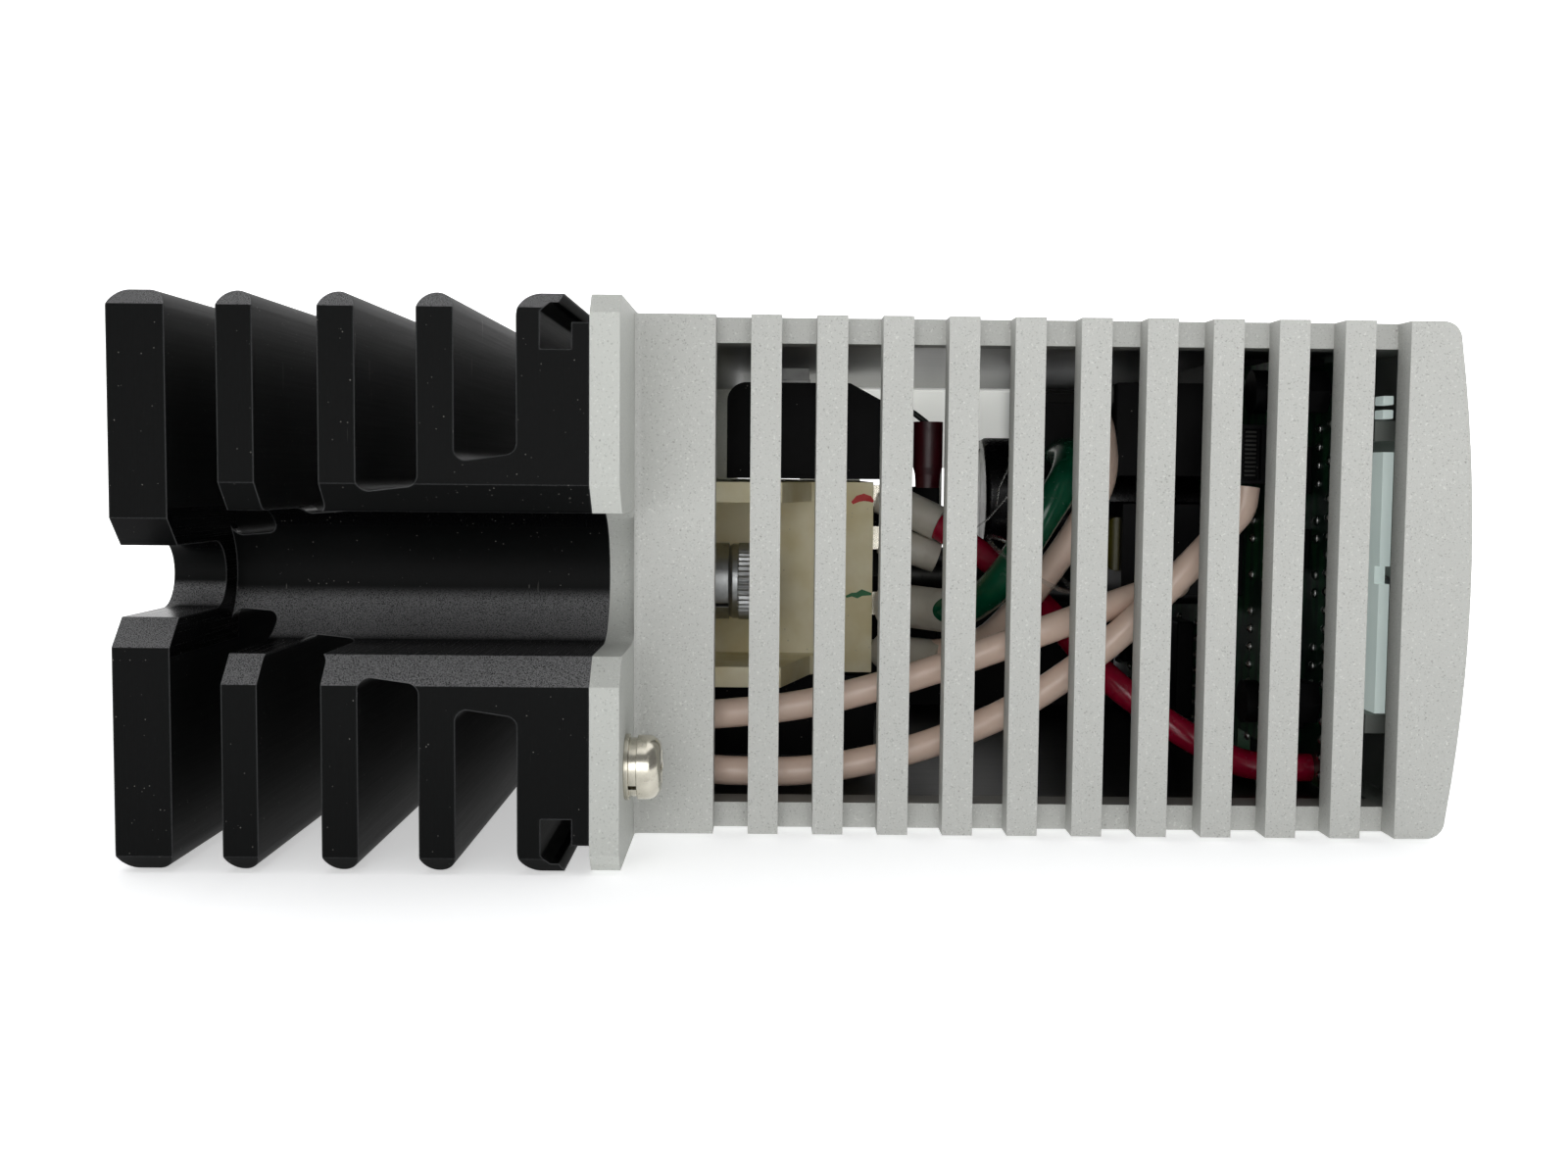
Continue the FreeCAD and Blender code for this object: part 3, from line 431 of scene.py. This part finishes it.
def vinyl(name, body, shade, roughness=0.3, wax=0.15):
    """Wire insulation: smooth, a little wavy and smudged."""
    cover = Finish(name, Specular_IOR_Level=0.5, Subsurface_Weight=wax)
    cover.shader.inputs["Subsurface Radius"].default_value = (1.0, 0.6, 0.5)
    cover.shader.inputs["Subsurface Scale"].default_value = 0.8 * MM
    wave = cover.noise(0.35, detail=2.0)
    smudge = cover.step(cover.noise(0.8, detail=4.0), 0.55, 0.75)
    tone = cover.mix(wave, body, shade)
    tone = cover.mix(smudge * 0.35, tone, shade)
    cover.feed("Base Color", tone)
    cover.feed("Roughness", roughness + 0.2 * smudge)
    cover.bump(wave + 0.15 * cover.noise(5.0), 0.3, 0.05)
    return cover


module_resin = plastic("beige_plastic", rgb(242, 234, 202), rgb(224, 211, 164), 0.42, 3.0, wax=0.06)
black_resin = plastic("black_plastic", rgb(8, 8, 9), rgb(15, 15, 16), 0.36, gloss=0.07)
grey_resin = plastic("grey_plastic", rgb(120, 122, 124), rgb(98, 100, 102), 0.45)
green_resin = plastic("green_plastic", rgb(38, 122, 70), rgb(26, 98, 54), 0.4)
can_sleeve = plastic("black_sleeve", rgb(8, 8, 9), rgb(14, 14, 16), 0.2, 1.5, coat=0.1, gloss=0.25)
silicone = plastic("grey_pad", rgb(150, 154, 158), rgb(126, 130, 134), 0.7, 6.0)
print("plastics made")

# %% Vinyl and tape
pink = vinyl("pink_insulation", rgb(240, 216, 200), rgb(224, 196, 178), wax=0.06)
crimson = vinyl("red_insulation", rgb(168, 8, 50), rgb(120, 2, 34), 0.2)
emerald = vinyl("green_insulation", rgb(6, 92, 62), rgb(2, 58, 38), 0.2)
maroon = vinyl("maroon_sleeve", rgb(70, 10, 22), rgb(42, 4, 12), 0.3)
white_vinyl = vinyl("white_sleeve", rgb(206, 202, 192), rgb(176, 170, 156), 0.4)
black_vinyl = vinyl("black_insulation", rgb(12, 12, 13), rgb(22, 22, 24), 0.3)
tape = plastic("yellow_tape", rgb(72, 68, 10), rgb(52, 48, 6), 0.25, 2.0)
dress(module_resin, "power_module")
dress(black_resin, "snubber_capacitor", "bridge_rectifier", "transformer_core", "board_guides",
      "lead_header", "signal_insert", "edge_sockets", "relay", "lead_terminal", "button_switch",
      "line_filter", "board_spacers", "board_screws")
dress(grey_resin, "reset_button")
dress(green_resin, "terminal_header", "terminal_plug")
dress(can_sleeve, "dc_capacitors")
dress(silicone, "thermal_pad")
dress(pink, "input_lead_a", "input_lead_b", "output_lead")
dress(crimson, "red_lead")
dress(emerald, "earth_lead")
dress(maroon, "shrink_sleeve")
dress(white_vinyl, "lead_sleeves")
dress(black_vinyl, "bus_lead")
dress(tape, "transformer_winding")
print("sleeves, leads and tape made")

# %% [markdown]
# ## Circuit boards, insulating sheet and lights
# A circuit board is glass cloth in resin under green solder mask. Copper tracks show
# through the mask as slightly raised, lighter bands; the cut edges are yellow-green glass.
# The sheet in front of the boards is thin polyester: pale, blue-white and satin. A greyer
# film hangs inside the far louvres; past the boards it is painted near black, a painted
# shade. The tie round two leads is clear nylon. Milky film spreads the light that strikes
# its other side, which a small even glow stands in for.


# %% Board, sheet and lens finishes
def board_finish():
    mask = Finish("green_board", Coat_Weight=0.25, Coat_Roughness=0.15)
    y_lines = mask.node("ShaderNodeTexBrick", {"offset": 0.5},
                        {"Vector": mask.stretched(0.0, 0.5, 0.45), "Scale": 1.0, "Mortar Size": 0.12,
                         "Brick Width": 1.7, "Row Height": 0.8}, out=1)
    copper = mask.step(mask.noise(0.14, detail=1.0), 0.42, 0.5)
    tracks = (y_lines * copper).clamped()
    cloth = mask.noise(3.0, detail=2.0)
    edge = mask.edges(0.3, 0.05, 0.4)
    tone = mask.mix(tracks, rgb(10, 42, 26), rgb(26, 84, 48))
    tone = mask.mix(cloth * 0.4, tone, rgb(8, 30, 20))
    tone = mask.mix(edge * 0.5, tone, rgb(118, 128, 70))
    mask.feed("Base Color", tone)
    mask.feed("Roughness", 0.28 + 0.2 * cloth)
    mask.bump(tracks + 0.2 * cloth, 0.5, 0.04)
    return mask


def film_finish(name, body, shade, clear=0.12, shade_fade=None, **constants):
    """Thin sheet; with shade_fade, two X places and a colour, it is painted that colour past them, a
    painted shade.
    """
    film = Finish(name, Roughness=0.35, Transmission_Weight=clear, **constants)
    cloud = film.noise(0.08, detail=2.0)
    tone = film.mix(cloud, body, shade)
    if shade_fade:
        x0, x1, dark = shade_fade
        tone = film.mix(film.step(film.axes()[0], x0 * MM, x1 * MM), tone, dark)
    film.feed("Base Color", tone)
    film.feed("Emission Color", tone)
    film.bump(film.noise(0.3, detail=2.0), 0.25, 0.05)
    return film


def lens_finish():
    lens = Finish("light_lens", Roughness=0.15, Transmission_Weight=0.5)
    rings = lens.noise(1.5, 6.0, 6.0)
    lens.feed("Base Color", lens.mix(rings, rgb(120, 190, 90), rgb(80, 150, 60)))
    lens.bump(rings, 0.4, 0.05)
    return lens


dress(board_finish(), "main_board", "control_board")
pale_film = film_finish("pale_sheet", rgb(224, 234, 230), rgb(204, 216, 214), Emission_Strength=0.28)
clear_nylon = film_finish("clear_nylon", rgb(240, 240, 236), rgb(226, 226, 220), clear=0.85, Alpha=0.2)
dress(pale_film, "front_sheet")
# painted shade: the vent film is painted near black past 40 mm, where the boards shade it
dress(film_finish("vent_film", rgb(236, 237, 234), rgb(220, 221, 218), shade_fade=(35, 40, rgb(16, 16, 15)),
                  Emission_Strength=0.4), "vent_film")
dress(clear_nylon, "cable_tie")
dress(lens_finish(), "status_lights")
bare_nodes = [name for name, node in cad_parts.items() if not node.data.materials]
print("nodes without a finish:", bare_nodes)

# %% [markdown]
# ## Building new pieces
# New pieces are written with bmesh, Blender's mesh-making toolkit. A few shapes repeat:
# a box, a turned profile, and a round tube through points. `piece` turns what they fill
# into an object that rides on a body of the CAD model.

# %% Mesh helpers
BODY = "case_and_heatsink"


def new_object(name, shape, finish):
    """A scene object with a finish, from a filled bmesh."""
    mesh = bpy.data.meshes.new(name)
    shape.to_mesh(mesh)
    shape.free()
    item = bpy.data.objects.new(name, mesh)
    bpy.context.scene.collection.objects.link(item)
    mesh.materials.append(finish.material)
    return item


def piece(name, mesh_maker, finish, body=BODY, smooth=False, bevel_mm=0.0):
    """An object built by a function that fills a bmesh, dressed and riding on a body."""
    shape = bmesh.new()
    mesh_maker(shape)
    bmesh.ops.recalc_face_normals(shape, faces=shape.faces)
    item = new_object(name, shape, finish)
    if bevel_mm:
        edge = item.modifiers.new("soft_edges", "BEVEL")
        edge.width = bevel_mm * MM
        edge.segments = 2
        edge.limit_method = "ANGLE"
    if smooth:
        item.data.shade_smooth()
    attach(item, body)
    return item


def add_box(shape, low, high):
    """A box between two corners, in metres."""
    size = [b - a for a, b in zip(low, high)]
    middle = [(a + b) / 2 for a, b in zip(low, high)]
    bmesh.ops.create_cube(shape, size=1.0,
                          matrix=Matrix.Translation(middle) @ Matrix.Diagonal((*size, 1.0)))


def join_rings(shape, rings):
    """A skin over a run of rings of points, closed at both ends."""
    sides = len(rings[0])
    for first, second in zip(rings, rings[1:]):
        for step in range(sides):
            after = (step + 1) % sides
            shape.faces.new((first[step], first[after], second[after], second[step]))
    shape.faces.new(rings[0])
    shape.faces.new(rings[-1])


def add_turned(shape, start, profile, sides, swell=None):
    """A profile of (distance along +X, radius) turned about an axis from a point.

    swell(step, ring, radius) gives a changed radius, for knurls and flats."""
    rings = []
    for number, (along, radius) in enumerate(profile):
        ring = []
        for step in range(sides):
            angle = 2 * math.pi * step / sides
            reach = radius if swell is None else swell(step, number, radius)
            ring.append(shape.verts.new((start[0] + along, start[1] + reach * math.cos(angle),
                                         start[2] + reach * math.sin(angle))))
        rings.append(ring)
    join_rings(shape, rings)


print("helpers for boxes and turned profiles are ready")

# %% [markdown]
# ## Cap screws with knurled heads
# The module is held down by two socket head cap screws. The lower part of such a head is
# smooth; above it straight knurling lets fingers turn it. The knurl is real geometry: every
# second point round the rim steps in a little.

# %% Knurled cap screws
CAP = Box("module_cap_screws")
CAP_R = (CAP.z1 - CAP.z0) / 2
CAP_HEAD = 6.0 * MM
SHANK_R = 2.9 * MM
SHANK_LENGTH = 0.012
TEETH = 44
KNURL_DEPTH = 0.22 * MM
SOCKET_HALF = 2.5 * MM          # from the middle to a flat of the six-sided socket
SOCKET_DEPTH = 3.0 * MM
KNURLED_RINGS = (5, 6)          # rings of the profile that carry teeth
FIRST_SOCKET_RING = 9
CAP_PROFILE = [
    (-SHANK_LENGTH, SHANK_R), (0.0, SHANK_R), (0.0, CAP_R - 0.4 * MM),
    (0.5 * MM, CAP_R - 0.1 * MM), (1.2 * MM, CAP_R - 0.1 * MM), (1.3 * MM, CAP_R),
    (CAP_HEAD - 0.8 * MM, CAP_R), (CAP_HEAD - 0.1 * MM, CAP_R - 0.6 * MM),
    (CAP_HEAD, CAP_R - 1.0 * MM), (CAP_HEAD, SHANK_R), (CAP_HEAD - SOCKET_DEPTH, SHANK_R)]


def knurl(step, ring, radius):
    """The radius of the cap screw at a step round one ring of its profile."""
    if ring in KNURLED_RINGS and step % 2:
        return radius - KNURL_DEPTH
    if ring >= FIRST_SOCKET_RING:
        turn = math.radians((360 * step / (2 * TEETH)) % 60 - 30)
        return SOCKET_HALF / math.cos(turn)
    return radius


def cap_screws(shape):
    for y in (CAP.y0 + CAP_R, CAP.y1 - CAP_R):
        start = (CAP.x1 - CAP_HEAD, y, (CAP.z0 + CAP.z1) / 2)
        add_turned(shape, start, CAP_PROFILE, sides=2 * TEETH, swell=knurl)


screws = piece("knurled_cap_screws", cap_screws, zinc)
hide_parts("module_cap_screws")
print("cap screws:", len(screws.data.vertices), "points")

# %% [markdown]
# ## Solder joints and small parts on the boards
# Through-hole boards show rows of solder joints: shiny domes a little over a millimetre wide
# on a 2.3 mm pitch. Small parts stand between the rows. Loops place them, and a seeded
# random generator leaves out some so the rows look worked on.


# %% Solder joints
JOINT_PITCH_MM = 2.3
MISSING_SHARE = 0.12


def add_joint(shape, x, y, z, side):
    """A solder dome on a board face; side is +1 or -1 along X."""
    reach = side * MM
    profile = [(0.0, 0.62 * MM), (0.16 * reach, 0.6 * MM), (0.38 * reach, 0.44 * MM),
               (0.52 * reach, 0.24 * MM), (0.56 * reach, 0.08 * MM)]
    add_turned(shape, (x, y, z), profile, sides=12)


def joint_rows(face_x, side, columns, seed):
    """A maker of rows of joints: one column of joints along Z for each Y place."""
    def maker(shape):
        picker = random.Random(seed)
        for y, low, high in columns:
            count = int((high - low) / JOINT_PITCH_MM)
            for number in range(count + 1):
                if picker.random() < MISSING_SHARE:
                    continue
                add_joint(shape, face_x, y * MM, (low + number * JOINT_PITCH_MM) * MM, side)
    return maker


main_columns = [(-50.5, 12.0, 40.5), (-44.5, 10.0, 38.5), (-18.0, 6.0, 24.0), (-8.0, 6.0, 24.0),
                (4.0, 6.0, 25.0), (16.0, 6.0, 25.0), (26.0, 6.0, 54.0), (36.0, 6.0, 54.0)]
control_columns = [(-50.8, 6.0, 50.0), (-46.5, 17.0, 50.0), (-38.0, 6.0, 54.0), (-28.0, 6.0, 54.0)]
main_joints = piece("main_board_joints", joint_rows(MAIN.x0, -1, main_columns, 11), solder,
                    smooth=True)
control_joints = piece("control_board_joints", joint_rows(CONTROL.x0, -1, control_columns, 12),
                       solder, smooth=True)
print("joint points:", len(main_joints.data.vertices), len(control_joints.data.vertices))


# %% Chips and resistors
def board_parts(face_x, side, places, height_mm):
    """A maker of low black blocks, each from its Y, Z place and size in mm."""
    def maker(shape):
        for y, z, wide, tall in places:
            x0, x1 = sorted((face_x, face_x + side * height_mm * MM))
            add_box(shape, (x0, (y - wide / 2) * MM, (z - tall / 2) * MM),
                    (x1, (y + wide / 2) * MM, (z + tall / 2) * MM))
    return maker


main_places = [(-12.0, 15.0, 8.0, 14.0), (10.0, 14.0, 7.0, 16.0), (22.0, 16.0, 4.0, 8.0),
               (31.0, 20.0, 7.0, 12.0), (31.0, 40.0, 7.0, 16.0), (42.0, 30.0, 6.0, 10.0)]
control_places = [(-42.5, 44.0, 3.0, 6.0), (-42.5, 34.0, 3.0, 5.0), (-33.0, 46.0, 6.0, 9.0),
                  (-33.0, 14.0, 6.0, 10.0), (-42.5, 14.0, 3.2, 6.4)]
piece("main_board_chips", board_parts(MAIN.x0, -1, main_places, 2.4), black_resin,
      bevel_mm=0.25)
piece("control_board_chips", board_parts(CONTROL.x0, -1, control_places, 1.4), black_resin,
      bevel_mm=0.2)
print("chips:", len(main_places) + len(control_places))

# %% [markdown]
# ## Pen marks on the module
# The end of the module's housing carries one red and one green pen mark. Each is a short,
# thin stroke lying on the plastic: a flattened strip that widens and narrows, a few
# hundredths of a millimetre proud of the surface.

# %% Pen strokes
red_ink = vinyl("red_ink", rgb(214, 44, 40), rgb(180, 24, 24), 0.5, wax=0.0)
green_ink = vinyl("green_ink", rgb(20, 122, 66), rgb(10, 90, 46), 0.5, wax=0.0)
MODULE_FACE = -29.0 * MM
INK_PROUD, INK_SUNK = 0.05 * MM, 0.02 * MM


def stroke(points, widths_mm):
    """A maker of a thin strip through X, Z points on a face that looks along -Y."""
    def maker(shape):
        y0, y1 = MODULE_FACE - INK_PROUD, MODULE_FACE + INK_SUNK
        rows = []
        for number, (x, z) in enumerate(points):
            before, after = points[max(number - 1, 0)], points[min(number + 1, len(points) - 1)]
            lean = Vector((after[0] - before[0], after[1] - before[1])).normalized()
            half = widths_mm[number] / 2
            sides = [(x - lean.y * half * way, z + lean.x * half * way) for way in (1, -1)]
            rows.append([shape.verts.new((px * MM, y, pz * MM)) for y in (y0, y1) for px, pz in sides])
        for one, two in zip(rows, rows[1:]):
            for a, b in ((0, 1), (1, 3), (3, 2), (2, 0)):
                shape.faces.new((one[a], one[b], two[b], two[a]))
        shape.faces.new(rows[0][:2] + rows[0][:1:-1])
        shape.faces.new(rows[-1][:2] + rows[-1][:1:-1])
    return maker


piece("red_tick", stroke([(4.6, 39.0), (5.4, 39.6), (6.2, 39.8), (7.0, 39.6), (7.5, 39.2)],
                         [0.4, 0.9, 1.0, 0.8, 0.3]), red_ink)
piece("green_tick", stroke([(3.9, 26.2), (4.7, 26.5), (5.4, 26.4), (6.1, 26.8), (7.4, 26.6)],
                           [0.3, 0.5, 0.8, 0.9, 0.3]), green_ink)
print("two pen marks on the module")

# %% [markdown]
# ## Barrier, contacts and fine threads
# Between the module's terminals stands a black barrier rib. The sheet ends in two bent
# prongs near the top, and the lower socket on the control board shows a row of bright
# contacts. Two clear threads hang between the leads: each is a very thin tube drawn
# through a few points.


# %% Small inner pieces
def add_tube(shape, points, radius, sides=8):
    """A round tube through points, in millimetres, with rings square to the path."""
    route = [Vector(point) * MM for point in points]
    rings = []
    for number, point in enumerate(route):
        before, after = route[max(number - 1, 0)], route[min(number + 1, len(route) - 1)]
        turn = (after - before).to_track_quat("Z", "X")
        ring = []
        for step in range(sides):
            angle = 2 * math.pi * step / sides
            arm = Vector((math.cos(angle), math.sin(angle), 0.0)) * radius * MM
            ring.append(shape.verts.new(point + turn @ arm))
        rings.append(ring)
    join_rings(shape, rings)


def box_maker(boxes):
    """A maker of boxes, each from its X, Y and Z ranges in millimetres."""
    def maker(shape):
        for ranges in boxes:
            add_box(shape, [low * MM for low, high in ranges], [high * MM for low, high in ranges])
    return maker


THREAD_RADIUS_MM = 0.14
THREADS = [
    [(19.4, -45.0, 36.2), (21.0, -45.2, 37.4), (23.4, -45.4, 40.3), (25.5, -45.6, 43.2)],
    [(22.0, -45.8, 39.0), (22.3, -45.9, 41.5), (23.6, -46.0, 44.3), (25.4, -46.0, 46.0)]]


def thread_maker(shape):
    for points in THREADS:
        add_tube(shape, points, THREAD_RADIUS_MM)


SOCKET = Box("edge_sockets")
prongs = [((68.2, 69.5), (-52.0, -49.0), (z, z + 1.1)) for z in (50.3, 52.0)]
contact_y = SOCKET.y0 / MM
contacts = [((65.0 + 0.8 * step, 65.4 + 0.8 * step), (contact_y - 0.12, contact_y + 0.1), (6.0, 9.8))
            for step in range(3)]
piece("module_barrier", box_maker([((7.5, 18.0), (-14.0, -12.6), (16.4, 41.2))]), black_resin,
      bevel_mm=0.3)
piece("sheet_prongs", box_maker(prongs), pale_film, bevel_mm=0.15)
piece("socket_contacts", box_maker(contacts), nickel, bevel_mm=0.08)
piece("clear_threads", thread_maker, clear_nylon, smooth=True)
print("barrier, %d prongs, %d contacts" % (len(prongs), len(contacts)), "and", len(THREADS), "threads")

# %% [markdown]
# ## Table, light and camera
# The unit is lit like a product on a white table: a large soft light overhead, a second one
# from straight ahead that reaches in between the bars, and a dim even surround. The floor
# gives off light of its own, so that it stays white; near the unit it is painted darker and
# glows less, a painted shade, and a faint woven line shows in that shade.

# %% Floor
FLOOR_GLOW = 0.74
WAVE_X, WAVE_Y = 0.9 / MM, 4.4 / MM     # how fast the woven line turns, in radians per metre
WHITE, BLACK = (1.0, 1.0, 1.0, 1.0), (0.0, 0.0, 0.0, 1.0)
table = Finish("table_top", Roughness=0.8, Specular_IOR_Level=0.2, Emission_Strength=FLOOR_GLOW)
x, y, _ = table.axes()
thread_wave = (x * WAVE_X + y * WAVE_Y).math("SINE") * 0.5 + 0.5
from_unit = table.node("ShaderNodeVectorMath", {"operation": "LENGTH"}, {0: table.place()}, out="Value")
# painted shade: near the unit the floor is painted darker and bluer and glows less
near_shade = table.step(from_unit, 0.24, 0.10)
weave = table.noise(0.25, 0.9, 0.9, detail=2.0)
cloth = table.mix(weave, (0.93, 0.93, 0.935, 1.0), (0.985, 0.985, 0.985, 1.0))
cloth = table.mix(near_shade * thread_wave * 0.5, cloth, (0.78, 0.81, 0.84, 1.0))
table.feed("Base Color", cloth)
table.feed("Emission Color", table.mix(near_shade * (0.20 + 0.18 * thread_wave), WHITE, BLACK))
table.bump(weave, 0.2, 0.1)


def floor_sheet(shape):
    """A floor that curves up from under the unit's middle to an upright backdrop."""
    reach, back, rise, top, gap = 9.0, 1.6, 1.6, 3.4, 0.0002
    line = [(-reach, 0.0), (back - rise, 0.0)]
    for degrees in range(10, 91, 10):
        angle = math.radians(degrees)
        line.append((back - rise + rise * math.sin(angle), rise - rise * math.cos(angle)))
    line.append((back, top))
    rows = [[shape.verts.new((x, y, z - gap)) for x in (-reach, reach)] for y, z in line]
    for one, two in zip(rows, rows[1:]):
        shape.faces.new((one[0], one[1], two[1], two[0]))


floor_shape = bmesh.new()
floor_sheet(floor_shape)
floor = new_object("floor", floor_shape, table)
floor.data.shade_smooth()
print("floor made")


# %% Lights
LIT_POINT = (0, 0, 0.03)
SURROUND = 0.22


def soft_light(name, place, size, power):
    """A rectangular lamp that faces the unit; sizes in metres, power in watts."""
    lamp = bpy.data.lights.new(name, "AREA")
    lamp.shape = "RECTANGLE"
    lamp.size, lamp.size_y = size
    lamp.energy = power
    holder = bpy.data.objects.new(name, lamp)
    holder.location = place
    holder.rotation_euler = (Vector(LIT_POINT) - Vector(place)).to_track_quat("-Z", "Y").to_euler()
    bpy.context.scene.collection.objects.link(holder)


soft_light("overhead", (-0.05, 0.05, 0.9), (1.2, 1.0), 4.5)
soft_light("front", (-0.05, -1.15, 0.2), (0.7, 0.6), 4.5)
world = bpy.data.worlds.new("studio")
world.use_nodes = True
sky = world.node_tree.nodes["Background"]
sky.inputs["Color"].default_value = WHITE
sky.inputs["Strength"].default_value = SURROUND
bpy.context.scene.world = world
bpy.context.scene.view_settings.view_transform = "Standard"
print("two soft lights and a pale surround")

# %% [markdown]
# ## Camera
# The camera stands a quarter of a metre away, a little above the middle of the unit, and
# looks almost straight along the case's length. It tips down by four degrees, so the upper
# faces just show, and its lens is a little longer than a standard wide one.

# %% Camera
LENS_MM, SENSOR_MM = 38.1, 36.0
CAMERA_PLACE = Vector((-6.1, -255.1, 43.3)) * MM
DOWN, TURN, TILT = 4.04, 0.39, 0.53     # degrees
eye = bpy.data.cameras.new("camera")
eye.lens, eye.sensor_width = LENS_MM, SENSOR_MM
eye.clip_start = 0.01
camera = bpy.data.objects.new("camera", eye)
aim = Euler((math.radians(90 - DOWN), 0, math.radians(-TURN))).to_matrix().to_4x4()
camera.matrix_world = Matrix.Translation(CAMERA_PLACE) @ aim @ Matrix.Rotation(math.radians(TILT), 4, "Z")
bpy.context.scene.collection.objects.link(camera)
bpy.context.scene.camera = camera
print("camera at", [round(v / MM) for v in camera.location])
